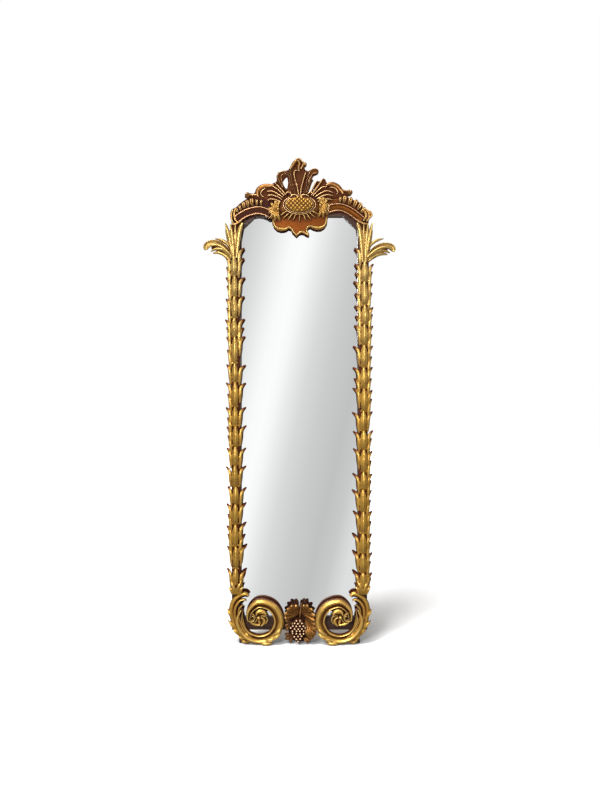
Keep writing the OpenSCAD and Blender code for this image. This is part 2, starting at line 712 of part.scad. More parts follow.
// Directions of the joints between the pieces of the crest, seen from the cabochon
arm_from = -40;
arm_right_to = 10;
fan_right_to = 55;
fan_left_from = 135;
fan_left_to = 171;

plume_outline = [[-40, 30], [40, 30], [34, 62], [35, 71], [45, 83], [53, 96], [46, 104], [55, 113],
  [68, 118], [73, 126], [69, 134], [58, 139], [44, 138], [32, 131], [20, 134], [17, 137], [-41, 137],
  [-50, 134], [-70, 128], [-80, 128], [-87, 113], [-86, 96], [-90, 89], [-50, 48]];
plume_slit = [[-50, 105], [-61, 93], [-60, 70], [-51, 61], [-45, 70], [-43, 90]];
plume_ribs = [
  [[-3, 34, 10], [-8, 60, 11], [-15, 92, 11], [-20, 122, 7]],
  [[5, 34, 9], [8, 60, 10], [10, 88, 10], [17, 118, 7]],
  [[-12, 36, 8], [-22, 56, 9], [-32, 84, 9], [-34, 122, 6]],
  [[12, 36, 8], [22, 56, 9], [30, 82, 9], [34, 112, 7], [52, 126, 6]],
  [[-66, 72, 9], [-74, 92, 10], [-76, 114, 9], [-56, 122, 6]]];

module crest_ribs(ribs, h, steps = 4) {
  for (r = ribs) blade([for (p = r) crest_at(p[0], p[1], slab_d - 2, p[2], h)], steps);
}

module crest_plume() {
  color(BRONZE) difference() {
    intersection() {
      union() {
        difference() {
          crest_slab(plume_outline, slab_d);
          crest_slab(plume_slit, slab_d + 2, -1);
        }
        crest_ribs(plume_ribs, 12);
      }
      crest_sector(fan_right_to, fan_left_from);
    }
    cartouche_block(fit);
  }
}

finial_outline = [[-42, 137 + fit], [-30, 150], [-22, 165], [-15, 174], [-4, 180], [6, 178], [10, 168],
  [20, 164], [28, 157], [25, 147], [17, 145], [17, 137 + fit]];

module crest_finial() {
  color(BRONZE) union() {
    crest_slab(finial_outline, slab_d - 4);
    blade([crest_at(-24, 140, slab_d - 6, 12, 9), crest_at(-16, 160, slab_d - 6, 12, 10),
      crest_at(-4, 172, slab_d - 6, 8, 8)], 5);
    blade([crest_at(2, 140, slab_d - 6, 13, 10), crest_at(3, 158, slab_d - 6, 13, 11),
      crest_at(2, 173, slab_d - 6, 7, 8)], 5);
    blade([crest_at(10, 142, slab_d - 6, 8, 7), crest_at(15, 154, slab_d - 6, 8, 8),
      crest_at(24, 154, slab_d - 6, 9, 8)], 3);
  }
}

right_fan_outline = [[0, 0], [38, 54], [55, 60], [57, 80], [68, 94], [78, 93], [91, 105], [98, 99],
  [104, 85], [122, 89], [140, 83], [155, 70], [168, 60], [180, 59], [190, 60], [200, 50], [195, 39],
  [184, 36], [180, 30], [120, 0]];
right_fan_ribs = [
  [[44, 38, 8], [60, 56, 9], [78, 78, 10], [90, 98, 6]],
  [[54, 36, 8], [76, 54, 9], [90, 61, 8], [104, 62, 6]],
  [[62, 30, 8], [84, 42, 9], [108, 49, 9], [130, 38, 6]],
  [[66, 22, 7], [86, 32, 8], [106, 34, 7]],
  [[104, 78, 10], [124, 82, 11], [142, 72, 11], [156, 52, 10], [166, 40, 7]],
  [[150, 60, 8], [162, 54, 9], [176, 52, 9]]];
left_fan_outline = [[0, 0], [-62, 62], [-90, 89], [-100, 86], [-106, 80], [-130, 80], [-150, 75],
  [-164, 60], [-172, 46], [-180, 47], [-190, 49], [-206, 45], [-207, 32], [-196, 27], [-184, 27],
  [-120, 0]];
left_fan_ribs = [
  [[-56, 40, 8], [-72, 58, 9], [-86, 72, 8], [-94, 80, 5]],
  [[-60, 36, 8], [-84, 58, 9], [-104, 68, 9], [-126, 66, 6]],
  [[-66, 30, 8], [-88, 44, 9], [-106, 51, 8], [-124, 50, 6]],
  [[-68, 22, 7], [-84, 34, 8], [-104, 36, 7]],
  [[-72, 12, 7], [-92, 20, 8], [-106, 20, 8], [-124, 12, 6]],
  [[-104, 76, 9], [-130, 76, 11], [-150, 66, 11], [-162, 48, 10], [-154, 32, 6]],
  [[-160, 36, 8], [-172, 36, 9], [-184, 40, 8]]];

// Middle of the ball curl at the outer end of each fan
left_ball = [-195, 38];
right_ball = [190, 48];
ball_d = 21;

module crest_fan(outline, ribs, a0, a1, ball) {
  color(BRONZE) difference() {
    intersection() {
      union() {
        crest_slab(outline, slab_d);
        crest_ribs(ribs, 12);
        translate([ball[0], face_y - slab_d, crest_z + ball[1]]) hull() sphere(d = ball_d, $fn = 12);
      }
      crest_sector(a0, a1);
    }
    cartouche_block(fit);
  }
}

// Arms: middle of the channel and width, drawn on the right and on the left
right_arm_rows = [[100, -14], [118, -11], [136, -9], [156, -9], [176, -17], [196, -28], [216, -42],
  [236, -58]];
left_arm_rows = [[100, -40], [116, -29], [136, -22], [154, -20], [176, -24], [196, -30], [216, -40],
  [236, -53]];
right_arm_slab = [[98, 20], [130, 26], [182, 34], [196, 22], [210, 22], [222, 16], [233, 8], [241, -6],
  [252, -22], [264, -26], [270, -40], [262, -54], [260, -75], [214, -75], [214, -58], [196, -44],
  [176, -32], [156, -24], [136, -24], [100, -28]];
left_arm_slab = [[98, 20], [130, 24], [182, 31], [200, 26], [212, 18], [226, 8], [240, -6], [255, -12],
  [262, -28], [258, -40], [256, -75], [214, -75], [216, -57], [196, -46], [176, -40], [154, -36],
  [136, -38], [116, -46], [90, -50]];

module arm(side, rows, slab, turn_to) {
  channel = [for (r = rows) crest_at(arm_x(r[0]), r[1], 0, arm_w, slab_d + 6)];
  color(BRONZE) both_sides(side) difference() {
    intersection() {
      union() {
        crest_slab([for (p = slab) [arm_x(p[0]), p[1]]], slab_d - 6);
        sweep(smooth(channel, 9), function(w, h) moulding(w, h));
        blade([crest_at(arm_x(246), -16, slab_d - 8, 10, 9), crest_at(arm_x(247), -36, slab_d - 8, 11, 12),
          crest_at(arm_x(242), -58, slab_d - 8, 10, 12), crest_at(arm_x(226), -68, slab_d - 8, 7, 8)], 4);
        for (k = [0 : 5]) let (p = slab[3 + k], q = rows[min(4 + floor(k / 2), 7)])
          blade([crest_at(arm_x(lerp(q[0], p[0], 0.55)), lerp(q[1] + 12, p[1], 0.4), slab_d - 8, 14, 8),
            crest_at(arm_x(lerp(q[0], p[0], 0.85)), lerp(q[1] + 12, p[1], 0.75), slab_d - 8, 12, 10),
            crest_at(arm_x(lerp(q[0], p[0], 1.05)), lerp(q[1] + 12, p[1], 1.05), slab_d - 8, 7, 7)], 2);
      }
      union() {
        crest_sector(arm_from, turn_to);
        box(arm_x(200), far, front_y, face_y, collar_z, crest_z - 20);
      }
      box(0, far, front_y, face_y, collar_z, crest_z + 60);
    }
    cartouche_block(fit);
  }
}

// ---- hangers ----

module each_hanger_screw(room) {
  for (s = [-1, 1], z = [hanger_z - ring_drop - 7, hanger_z - strap_len + 5]) {
    translate([s * hanger_x, board_back_y + strap_t, z]) rotate([90, 0, 0])
      cylinder(d = screw_d + 2 * room, h = 16);
    if (room == 0) translate([s * hanger_x, board_back_y + strap_t, z]) rotate([-90, 0, 0])
      cylinder(d1 = head_d, d2 = head_d - 2, h = head_t - 0.4);
  }
}

module hanger_screws() {
  color(STEEL) each_hanger_screw(0);
}

module hanger_strap(side) {
  bore_r = wire_d / 2 + pivot_room;
  wall_r = bore_r + strap_t;
  color(STEEL) difference() {
    union() {
      translate([side * hanger_x - strap_w / 2, board_back_y, hanger_z - strap_len])
        cube([strap_w, strap_t, strap_len]);
      translate([side * hanger_x - strap_w / 2, pivot_y, hanger_z]) rotate([0, 90, 0])
        cylinder(r = wall_r, h = strap_w);
    }
    translate([side * hanger_x - strap_w, pivot_y, hanger_z]) rotate([0, 90, 0])
      cylinder(r = bore_r, h = 2 * strap_w);
    each_hanger_screw(hole_room);
    box(-far, far, board_back_y - 10, board_back_y, hanger_z - 60, hanger_z + 60);
  }
}

module hanger_ring(side) {
  leg = ring_drop - ring_r - wire_d / 2;
  color(STEEL) translate([side * hanger_x, pivot_y, hanger_z]) union() {
    translate([-ring_r, 0, 0]) rotate([0, 90, 0]) cylinder(d = wire_d, h = 2 * ring_r);
    for (s = [-1, 1]) {
      translate([s * ring_r, 0, 0]) sphere(d = wire_d);
      translate([s * ring_r, 0, -leg]) cylinder(d = wire_d, h = leg);
    }
    translate([0, 0, -leg]) rotate([90, 0, 0]) rotate([0, 0, 180]) rotate_extrude(angle = 180)
      translate([ring_r, 0]) circle(d = wire_d);
  }
}

mirror_glass();
backboard();
stile(-1);  // left_stile
stile(1);  // right_stile
bottom_rail();
top_rail();
crest_board();
crest_batten();
frame_dowels();
glass_blocks();
setting_blocks();
rear_foot(-1);  // left_rear_foot
rear_foot(1);  // right_rear_foot
palm_trunk(-1);  // left_palm_trunk
palm_trunk(1);  // right_palm_trunk
palm_frond(-1);  // left_palm_frond
palm_frond(1);  // right_palm_frond
cartouche();
cabochon();
crest_plume();
crest_finial();
crest_fan(left_fan_outline, left_fan_ribs, fan_left_from, fan_left_to, left_ball);  // left_crest_fan
crest_fan(right_fan_outline, right_fan_ribs, arm_right_to, fan_right_to, right_ball);  // right_crest_fan
arm(-1, left_arm_rows, left_arm_slab, 180 - fan_left_to);  // left_arm
arm(1, right_arm_rows, right_arm_slab, arm_right_to);  // right_arm
scroll(-1);  // left_scroll
scroll(1);  // right_scroll
scroll_leaf(-1);  // left_scroll_leaf
scroll_leaf(1);  // right_scroll_leaf
rosette(-1);  // left_rosette
rosette(1);  // right_rosette
grape_bunch();
vine_leaves();
hanger_strap(-1);  // left_hanger_strap
hanger_strap(1);  // right_hanger_strap
hanger_ring(-1);  // left_hanger_ring
hanger_ring(1);  // right_hanger_ring
hanger_screws();
backboard_screws();
batten_screws();
foot_screws();
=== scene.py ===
"""Pier mirror with palm trunk stiles: carved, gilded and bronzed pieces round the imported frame.

Shapes are in millimetres: x to the right, d forward of the face of the frame, z up, w and h the width and
height of a section. out and up are measured from the axis and the root of a piece. Left pieces mirror right
ones with small seeded differences, but the two halves of the crest have tables of their own.
"""
import random
from math import cos, hypot, pi, radians, sin, sqrt

import bmesh
import bpy
from mathutils import Matrix, Vector


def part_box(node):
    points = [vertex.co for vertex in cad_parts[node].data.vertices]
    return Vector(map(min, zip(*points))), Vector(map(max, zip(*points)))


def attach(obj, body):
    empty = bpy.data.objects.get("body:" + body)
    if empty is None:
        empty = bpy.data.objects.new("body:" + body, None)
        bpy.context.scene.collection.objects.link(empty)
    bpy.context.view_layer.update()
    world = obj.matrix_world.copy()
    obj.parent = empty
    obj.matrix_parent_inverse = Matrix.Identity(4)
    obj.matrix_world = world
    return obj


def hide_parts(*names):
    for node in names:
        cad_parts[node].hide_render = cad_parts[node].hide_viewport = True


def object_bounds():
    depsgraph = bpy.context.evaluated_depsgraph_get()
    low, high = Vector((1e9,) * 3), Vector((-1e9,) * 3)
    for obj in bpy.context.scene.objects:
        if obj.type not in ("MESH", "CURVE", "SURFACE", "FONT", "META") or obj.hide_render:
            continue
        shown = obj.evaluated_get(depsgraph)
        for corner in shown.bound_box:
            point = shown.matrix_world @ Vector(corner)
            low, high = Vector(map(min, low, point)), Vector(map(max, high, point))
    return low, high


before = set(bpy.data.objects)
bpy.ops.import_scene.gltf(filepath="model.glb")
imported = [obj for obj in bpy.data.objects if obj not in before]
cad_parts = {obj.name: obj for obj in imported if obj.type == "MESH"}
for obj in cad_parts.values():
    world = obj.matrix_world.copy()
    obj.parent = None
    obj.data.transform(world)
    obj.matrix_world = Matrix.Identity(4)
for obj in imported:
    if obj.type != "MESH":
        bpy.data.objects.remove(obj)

CAD_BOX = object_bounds()
MM = 0.001
BODY = "mirror"


def put(name, data):
    """Adds an object to the scene."""
    thing = bpy.data.objects.new(name, data)
    bpy.context.scene.collection.objects.link(thing)
    return thing


# ---- places ----

def cad(node):
    """Lowest and highest corner of a CAD node, in millimetres."""
    return [Vector(corner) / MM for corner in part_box(node)]


STILE_LOW, STILE_HIGH = cad("right_stile")
TRUNK_LOW, TRUNK_HIGH = cad("right_palm_trunk")
CAB_LOW, CAB_HIGH = cad("cabochon")
FROND_TIP = cad("right_palm_frond")[1].x
FACE_Y = STILE_LOW.y
MOST_D = FACE_Y - Vector(CAD_BOX[0]).y / MM
SPARE = 1
WIDEST = Vector(CAD_BOX[1]).x / MM - SPARE
STILE_X = (STILE_LOW.x + STILE_HIGH.x) / 2
CREST_Z = (CAB_LOW.z + CAB_HIGH.z) / 2
COLLAR_Z = TRUNK_HIGH.z
FOOT_Z = TRUNK_LOW.z
TRUNK_LEAN = 8
TRUNK_W = 36
HEAD_LENGTH = 122
HEAD_Z = COLLAR_Z - HEAD_LENGTH
SCROLL_R = 88
SCROLL_X = 151
SCROLL_Z = SCROLL_R - 1.5


def trunk_x(z):
    """Axis of a trunk at height z. It leans outwards from its foot to its collar."""
    return STILE_X + TRUNK_LEAN * (z - FOOT_Z) / (COLLAR_Z - FOOT_Z)


def lerp(a, b, t):
    """Value a share t of the way from a to b."""
    return a + (b - a) * t


def spline(a, b, c, d, t):
    """Value between b and c on the smooth line through a, b, c and d."""
    return 0.5 * (2 * b + (c - a) * t + (2 * a - 5 * b + 4 * c - d) * t * t
                  + (3 * b - a - 3 * c + d) * t ** 3)


# ---- shapes ----

def smooth(rows, steps):
    """Rows read off a smooth line through all the given rows."""
    last = len(rows) - 1
    line = []
    for i in range(steps + 1):
        u = i / steps * last
        s = min(int(u), last - 1)
        t = u - s
        four = (rows[max(s - 1, 0)], rows[s], rows[s + 1], rows[min(s + 2, last)])
        line.append([spline(a, b, c, d, t) for a, b, c, d in zip(*four)])
    return line


def oval(x, z, half_w, half_h, d, sides=72):
    """Upright oval loop round (x, z)."""
    turns = [2 * pi * i / sides for i in range(sides)]
    return [(x + half_w * cos(a), d, z + half_h * sin(a)) for a in turns]


# A section is a loop of (across, up) for a width w and a height h.

def backed(top, w, h, share, under):
    """Closes a section with a narrower back, a little below the edge."""
    return top + [(w * share, -h * under), (-w * share, -h * under)]


def bar(w, h, sides=14):
    """Half-round section."""
    turn = [pi * i / sides for i in range(sides + 1)]
    return backed([(-w / 2 * cos(a), h * sin(a)) for a in turn], w, h, 0.36, 0.35)


def fluted(ribs, groove):
    """Section of a leaf with rounded ribs side by side and a groove of that depth between them."""
    def section(w, h):
        count = 6 * ribs
        top = []
        for i in range(count + 1):
            u = 2 * i / count - 1
            arch = sqrt(max(0, 1 - 0.96 * u * u))
            rib = 1 - groove + groove * abs(sin(pi * ribs * i / count))
            top.append((w / 2 * u, h * arch * rib))
        return backed(top, w, h, 0.35, 0.4)
    return section


def drawn(shares):
    """Section drawn in shares of the half width and of the height."""
    def section(w, h):
        return [(w / 2 * a, h * b) for a, b in shares]
    return section


# A full leaf with a soft ridge along its middle
keeled = drawn((
    (-1, 0), (-0.93, 0.4), (-0.72, 0.62), (-0.4, 0.76), (-0.16, 0.9), (0, 1), (0.16, 0.9), (0.4, 0.76),
    (0.72, 0.62), (0.93, 0.4), (1, 0), (0.6, -0.4), (-0.6, -0.4)))
# A hollow leaf: two raised edges with a smooth trough between them
scooped = drawn((
    (-1, 0), (-0.97, 0.7), (-0.86, 1), (-0.72, 0.85), (-0.45, 0.5), (0, 0.36), (0.45, 0.5), (0.72, 0.85),
    (0.86, 1), (0.97, 0.7), (1, 0), (0.6, -0.4), (-0.6, -0.4)))
# The moulding of a scroll: a wide round bead, a hollow and a thin bead
moulding = drawn((
    (-1, 0), (-1, 0.46), (-0.95, 0.68), (-0.82, 0.86), (-0.6, 0.98), (-0.36, 1), (-0.1, 0.9), (0.1, 0.7),
    (0.26, 0.5), (0.42, 0.46), (0.56, 0.58), (0.66, 0.78), (0.8, 0.86), (0.93, 0.78), (1, 0.6), (1, 0)))
# The rim of an arm: share of the half width, and depth under the top
ARM_RIM = ((1, 3), (0.95, 1), (0.86, 0), (0.74, 1), (0.68, 4), (0.6, 9))
ARM_SUNK = 10


def channel(w, h):
    """Section of an arm: two narrow raised rims with a sunk flat between them."""
    half = [(1, 0)] + [(a, h - sunk) for a, sunk in ARM_RIM]
    left = [(-w / 2 * a, b) for a, b in half]
    return left + [(0, h - ARM_SUNK)] + [(w / 2 * a, b) for a, b in reversed(half)]


# No row of a blade is made thinner than this
THINNEST_W = 0.4
THINNEST_H = 0.3


class Carving:
    """Closed skins of one piece. side is -1 for a piece mirrored to the left."""

    def __init__(self, side, seed):
        self.mesh = bmesh.new()
        self.side = side
        self.random = random.Random(seed)

    def point(self, p):
        """Vertex at (x, d, z), kept within the width of the CAD box."""
        x = min(max(p[0], -WIDEST), WIDEST)
        return self.mesh.verts.new((x * self.side * MM, (FACE_Y - p[1]) * MM, p[2] * MM))

    def skin(self, rings):
        """One closed skin through a row of rings, each a list of (x, d, z)."""
        rows = [[self.point(p) for p in ring] for ring in rings]
        sides = len(rows[0])
        faces = [self.mesh.faces.new(rows[0]), self.mesh.faces.new(rows[-1])]
        for one, two in zip(rows, rows[1:]):
            for k in range(sides):
                n = (k + 1) % sides
                faces.append(self.mesh.faces.new((one[k], one[n], two[n], two[k])))
        bmesh.ops.recalc_face_normals(self.mesh, faces=faces)

    def blade(self, rows, section, steps, floor=None):
        """A leaf or rib through rows of (x, d, z, w, h), with or without a turn towards +x in degrees.

        Nothing of it goes behind the frame's face or below floor.
        """
        line = smooth([tuple(r) + (0,) * (6 - len(r)) for r in rows], steps)
        rings = []
        for i, row in enumerate(line):
            before, after = line[max(i - 1, 0)], line[min(i + 1, steps)]
            along = Vector([b - a for a, b in zip(before[:3], after[:3])]).normalized()
            turn = radians(row[5])
            face = Vector((sin(turn), cos(turn), 0))
            up = (face - along * face.dot(along)).normalized()
            across = along.cross(up)
            outline = section(max(row[3], THINNEST_W), max(row[4], THINNEST_H))
            ring = [Vector(row[:3]) + across * a + up * b for a, b in outline]
            for p in ring:
                p.y = min(max(p.y, 0), MOST_D)
                if floor is not None:
                    p.z = max(p.z, floor)
            rings.append(ring)
        self.skin(rings)

    def slab(self, outline, front, rounding, back=0):
        """A flat carving with a rounded front edge. outline is a loop of (x, z)."""
        bevel = rounding * 0.3
        steps = ((back, 0), (front - rounding, 0), (front - bevel, bevel), (front, rounding))
        self.skin([[(x, d, z) for x, z in shrink(outline, inset)] for d, inset in steps])

    def ball(self, x, d, z, r):
        """A bead of radius r."""
        place = Matrix.Translation((x * self.side * MM, (FACE_Y - d) * MM, z * MM))
        bmesh.ops.create_icosphere(self.mesh, subdivisions=2, radius=r * MM, matrix=place)

    def finish(self, node, slot, material, voxel, relax, name=None):
        """Fuses the skins, softens the cut edges and lets the piece stand for a CAD node."""
        name = name or node + "_carving"
        mesh = bpy.data.meshes.new(name)
        self.mesh.to_mesh(mesh)
        self.mesh.free()
        piece = put(name, mesh)
        if voxel:
            fuse = piece.modifiers.new("fuse", "REMESH")
            fuse.mode = "VOXEL"
            fuse.voxel_size = voxel * MM
        if relax:
            soften = piece.modifiers.new("soften", "SMOOTH")
            soften.iterations = relax
        graph = bpy.context.evaluated_depsgraph_get()
        made = bpy.data.meshes.new_from_object(piece.evaluated_get(graph))
        piece.modifiers.clear()
        piece.data = made
        bpy.data.meshes.remove(mesh)
        piece.data.shade_smooth()
        piece.data.materials.append(material)
        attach(piece, BODY)
        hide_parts(node)


def shrink(outline, inset):
    """Moves each corner of a loop inwards, along the mean of its two edges."""
    if not inset:
        return list(outline)
    area = sum(a[0] * b[1] - b[0] * a[1] for a, b in zip(outline, outline[1:] + outline[:1]))
    sign = 1 if area > 0 else -1
    moved = []
    for i, p in enumerate(outline):
        before = Vector(p) - Vector(outline[i - 1])
        after = Vector(outline[(i + 1) % len(outline)]) - Vector(p)
        inwards = Vector((-before.y, before.x)).normalized() + Vector((-after.y, after.x)).normalized()
        moved.append(tuple(Vector(p) + inwards.normalized() * inset * sign))
    return moved


def rounded(outline, steps=4):
    """A closed loop of corners turned into a closed smooth curve through them."""
    loop = []
    count = len(outline)
    for i in range(count):
        a, b, c, d = (Vector(outline[(i + k) % count]) for k in (-1, 0, 1, 2))
        loop += [tuple(spline(a, b, c, d, s / steps)) for s in range(steps)]
    return loop


# ---- materials ----

class Nodes:
    """The node tree of a material or of the world."""

    def __init__(self, owner):
        owner.use_nodes = True
        self.tree = owner.node_tree
        self.tree.nodes.clear()
        self.link = self.tree.links.new

    def add(self, kind, **settings):
        node = self.tree.nodes.new("ShaderNode" + kind)
        for key, value in settings.items():
            setattr(node, key, value)
        return node

    def feed(self, socket, value):
        """Gives a socket a link, a number or a colour."""
        if isinstance(value, bpy.types.NodeSocket):
            self.link(value, socket)
        elif isinstance(value, (int, float)):
            socket.default_value = value
        else:
            socket.default_value = (*value, 1)

    def fill(self, node, **values):
        """Feeds the inputs of a node, named with _ for a space."""
        for key, value in values.items():
            self.feed(node.inputs[key.replace("_", " ")], value)

    def axes(self, source):
        """The X, Y and Z of a vector."""
        node = self.add("SeparateXYZ")
        self.link(source, node.inputs[0])
        return node.outputs

    def coordinates(self, kind):
        return self.add("TexCoord").outputs[kind]

    def ramp(self, source, stops):
        """stops are (place, grey level)."""
        node = self.add("ValToRGB")
        while len(node.color_ramp.elements) < len(stops):
            node.color_ramp.elements.new(0.5)
        for element, (where, level) in zip(node.color_ramp.elements, stops):
            element.position = where
            element.color = (level, level, level, 1)
        self.link(source, node.inputs[0])
        return node.outputs[0]

    def mix(self, factor, one, two):
        node = self.add("Mix", data_type="RGBA")
        for number, value in ((0, factor), (6, one), (7, two)):
            self.feed(node.inputs[number], value)
        return node.outputs[2]

    def times(self, one, two):
        return self.math("MULTIPLY", one, two)

    def math(self, how, one, two, clamp=False):
        node = self.add("Math", operation=how, use_clamp=clamp)
        self.feed(node.inputs[0], one)
        self.feed(node.inputs[1], two)
        return node.outputs[0]


class Finish(Nodes):
    """A material of one principled shader, drawn in the object's own coordinates."""

    def __init__(self, name):
        self.material = bpy.data.materials.new(name)
        super().__init__(self.material)
        self.shader = self.add("BsdfPrincipled")
        output = self.add("OutputMaterial")
        self.link(self.shader.outputs[0], output.inputs[0])
        self.place = self.coordinates("Object")

    def noise(self, size, detail, rough=0.5, stretch=None):
        """Noise with patches of about size metres, longer where stretch is small."""
        node = self.add("TexNoise")
        place = self.place
        if stretch:
            mapping = self.add("Mapping")
            mapping.inputs["Scale"].default_value = stretch
            self.link(place, mapping.inputs["Vector"])
            place = mapping.outputs[0]
        self.fill(node, Scale=1 / size, Detail=detail, Roughness=rough, Vector=place)
        return node.outputs["Fac"]

    def bump(self, height, strength, distance):
        node = self.add("Bump")
        self.fill(node, Strength=strength, Distance=distance, Height=height)
        self.link(node.outputs[0], self.shader.inputs["Normal"])

    def set(self, **values):
        self.fill(self.shader, **values)


def rise(low, high, top=1.0):
    """Stops of a ramp from nothing at low to top at high."""
    return (low, 0.0), (high, top)


def gilt(name, leaf, worn_and_highlight, glaze_and_shade, deep_shade, low_leaf=None, reach=0.012, edge_wear_and_highlight=0.8, metal=0.78, front_highlight=None):
    """Gold leaf over bole. Glaze and painted shade darken it in the hollows, on faces turned away from the
    front and in the parts that lie further back; rubbed wear and painted highlight lighten its high edges.

    deep_shade is where, in millimetres forward, the glaze and painted shade give way to the leaf, low_leaf
    the leaf near the floor, reach the widest hollow in metres and edge_wear_and_highlight how much of an edge
    is lightened. With front_highlight, a painted highlight lightens the faces that look forwards at least
    that squarely.
    """
    n = Finish(name)
    shade = n.add("AmbientOcclusion", samples=8)
    n.fill(shade, Distance=reach)
    patches = n.noise(0.03, 4, 0.6)
    grit = n.noise(0.004, 3, 0.6)
    points = n.add("NewGeometry").outputs["Pointiness"]
    # Worn gilding and painted highlight: the pale colour on sharp edges
    edge = n.ramp(points, rise(0.505, 0.56))
    # Glaze and painted shade in creases (hollow) and where the AO node finds the surface shut in (open_sky)
    hollow = n.ramp(points, rise(0.44, 0.495))
    open_sky = n.ramp(shade.outputs["AO"], rise(0.45, 0.9))
    # Painted shade on faces turned sideways, and dark paint on faces turned backwards
    forward = n.times(n.axes(n.coordinates("Normal"))["Y"], -1.0)
    facing = n.ramp(forward, rise(0.05, 0.42))
    # Painted shade: the further back a surface lies, the more it takes the glaze colour
    where = n.axes(n.place)
    ahead = n.math("SUBTRACT", (FACE_Y - deep_shade[0]) * MM, where["Y"])
    raised = n.math("DIVIDE", ahead, (deep_shade[1] - deep_shade[0]) * MM, True)
    # Share of leaf left after the glaze and painted shade of hollows, turned-away faces and deep parts
    leaf_out_of_shade = n.times(n.times(open_sky, hollow), n.times(facing, raised))
    if low_leaf:
        height = n.math("DIVIDE", where["Z"], CREST_Z * MM, True)
        leaf = n.mix(n.ramp(height, rise(0.55, 0.85)), low_leaf, leaf)
    tone = n.mix(n.ramp(patches, rise(0.38, 0.68, 0.34)), leaf, glaze_and_shade)
    # Worn gilding and painted highlight on sharp edges, or a painted highlight on faces that look forwards
    pale_wear_and_highlight = n.ramp(forward, rise(front_highlight, front_highlight + 0.04)) if front_highlight else n.times(edge, edge_wear_and_highlight)
    tone = n.mix(n.times(pale_wear_and_highlight, n.ramp(grit, ((0.3, 0.7), (0.7, 1.0)))), tone, worn_and_highlight)
    sheen = n.times(leaf_out_of_shade, n.ramp(grit, ((0.3, 0.32), (0.7, 0.2))))
    n.set(Base_Color=n.mix(leaf_out_of_shade, glaze_and_shade, tone), Metallic=n.times(leaf_out_of_shade, metal),
          Roughness=n.math("SUBTRACT", 0.62, sheen), Specular_IOR_Level=0.08)
    n.bump(n.noise(0.0025, 4, 0.6), 0.25, 0.0004)
    return n.material


def wood(name, light, dark, grain, rough=0.5):
    """Straight-grained wood. grain is the axis along which it runs: 0, 1 or 2."""
    n = Finish(name)
    scale = [1.0, 1.0, 1.0]
    scale[grain] = 0.05
    streaks = n.noise(0.006, 6, 0.6, scale)
    pores = n.noise(0.0012, 3, 0.7, scale)
    tone = n.mix(n.ramp(streaks, rise(0.35, 0.65)), dark, light)
    tone = n.mix(n.ramp(pores, rise(0.55, 0.75, 0.55)), tone, [c * 0.5 for c in dark])
    dull = n.ramp(streaks, ((0.3, rough + 0.1), (0.7, rough - 0.08)))
    n.set(Base_Color=tone, Roughness=dull, Specular_IOR_Level=0.25)
    n.bump(pores, 0.3, 0.0003)
    return n.material


def steel():
    """Zinc-plated hardware with fine rub marks."""
    n = Finish("zinc_plated_steel")
    marks = n.noise(0.0008, 4, 0.6, (1, 1, 0.15))
    n.set(Base_Color=n.mix(n.noise(0.006, 3), (0.46, 0.46, 0.44), (0.62, 0.62, 0.6)), Metallic=1.0,
          Roughness=n.ramp(marks, ((0.3, 0.28), (0.7, 0.46))))
    n.bump(marks, 0.15, 0.0001)
    return n.material


def silvered_glass():
    """Silvered plate: bright in front, with grey backing paint behind and at its edges."""
    n = Finish("silvered_glass")
    front = n.math("LESS_THAN", n.axes(n.coordinates("Normal"))["Y"], -0.5)
    n.set(Base_Color=n.mix(front, (0.16, 0.17, 0.16), (0.86, 0.875, 0.87)), Metallic=front,
          Roughness=n.ramp(front, ((0.0, 0.6), (1.0, 0.012))))
    n.bump(n.times(n.noise(0.25, 1), front), 0.02, 0.0005)
    return n.material


# The glaze colours stand for umber glaze and painted shade at once, the pale golds for worn gilding and
# painted highlight at once
GLAZE_AND_SHADE = (0.075, 0.016, 0.003)
BROWN = (0.054, 0.012, 0.002)
PALE_GOLD = (0.95, 0.75, 0.34)
PINK_GOLD = (0.98, 0.6, 0.32)
BRIGHT = gilt("bright_gilt", (0.52, 0.34, 0.1), PALE_GOLD, GLAZE_AND_SHADE, (12, 21), (0.54, 0.3, 0.048),
              edge_wear_and_highlight=0.4)
SCROLLED = gilt("scroll_gilt", (0.66, 0.39, 0.08), PALE_GOLD, (0.06, 0.014, 0.003), (8, 18))
CRESTED = gilt("bronzed_gilt", (0.22, 0.088, 0.017), (0.98, 0.64, 0.32), BROWN, (11, 21), edge_wear_and_highlight=0.95)
LATTICED = gilt("lattice_gilt", (0.38, 0.19, 0.03), (0.95, 0.66, 0.22), GLAZE_AND_SHADE, (10, 21))
FIELD = gilt("field_gilt", (0.27, 0.125, 0.019), (0.98, 0.71, 0.26), BROWN, (12, 22), edge_wear_and_highlight=0.7)
AMBER = gilt("amber_gilt", (0.14, 0.038, 0.006), (0.9, 0.5, 0.16), GLAZE_AND_SHADE, (1, 4), reach=0.03)
RIMMED = gilt("rim_gilt", (0.46, 0.25, 0.05), (0.98, 0.78, 0.36), GLAZE_AND_SHADE, (5, 13), edge_wear_and_highlight=0.9)
UMBER = gilt("umber_gilt", (0.21, 0.068, 0.014), PINK_GOLD, (0.034, 0.007, 0.003), (17, 25))
BRONZE = gilt("bronze_gilt", (0.13, 0.042, 0.006), PINK_GOLD, GLAZE_AND_SHADE, (3, 16))
CROCKETED = gilt("crocket_gilt", (0.34, 0.15, 0.028), (0.98, 0.72, 0.32), BROWN, (9, 20), edge_wear_and_highlight=0.9)
LEAFY = gilt("vine_gilt", (0.2, 0.078, 0.014), (0.85, 0.52, 0.18), (0.035, 0.01, 0.004), (12, 26))
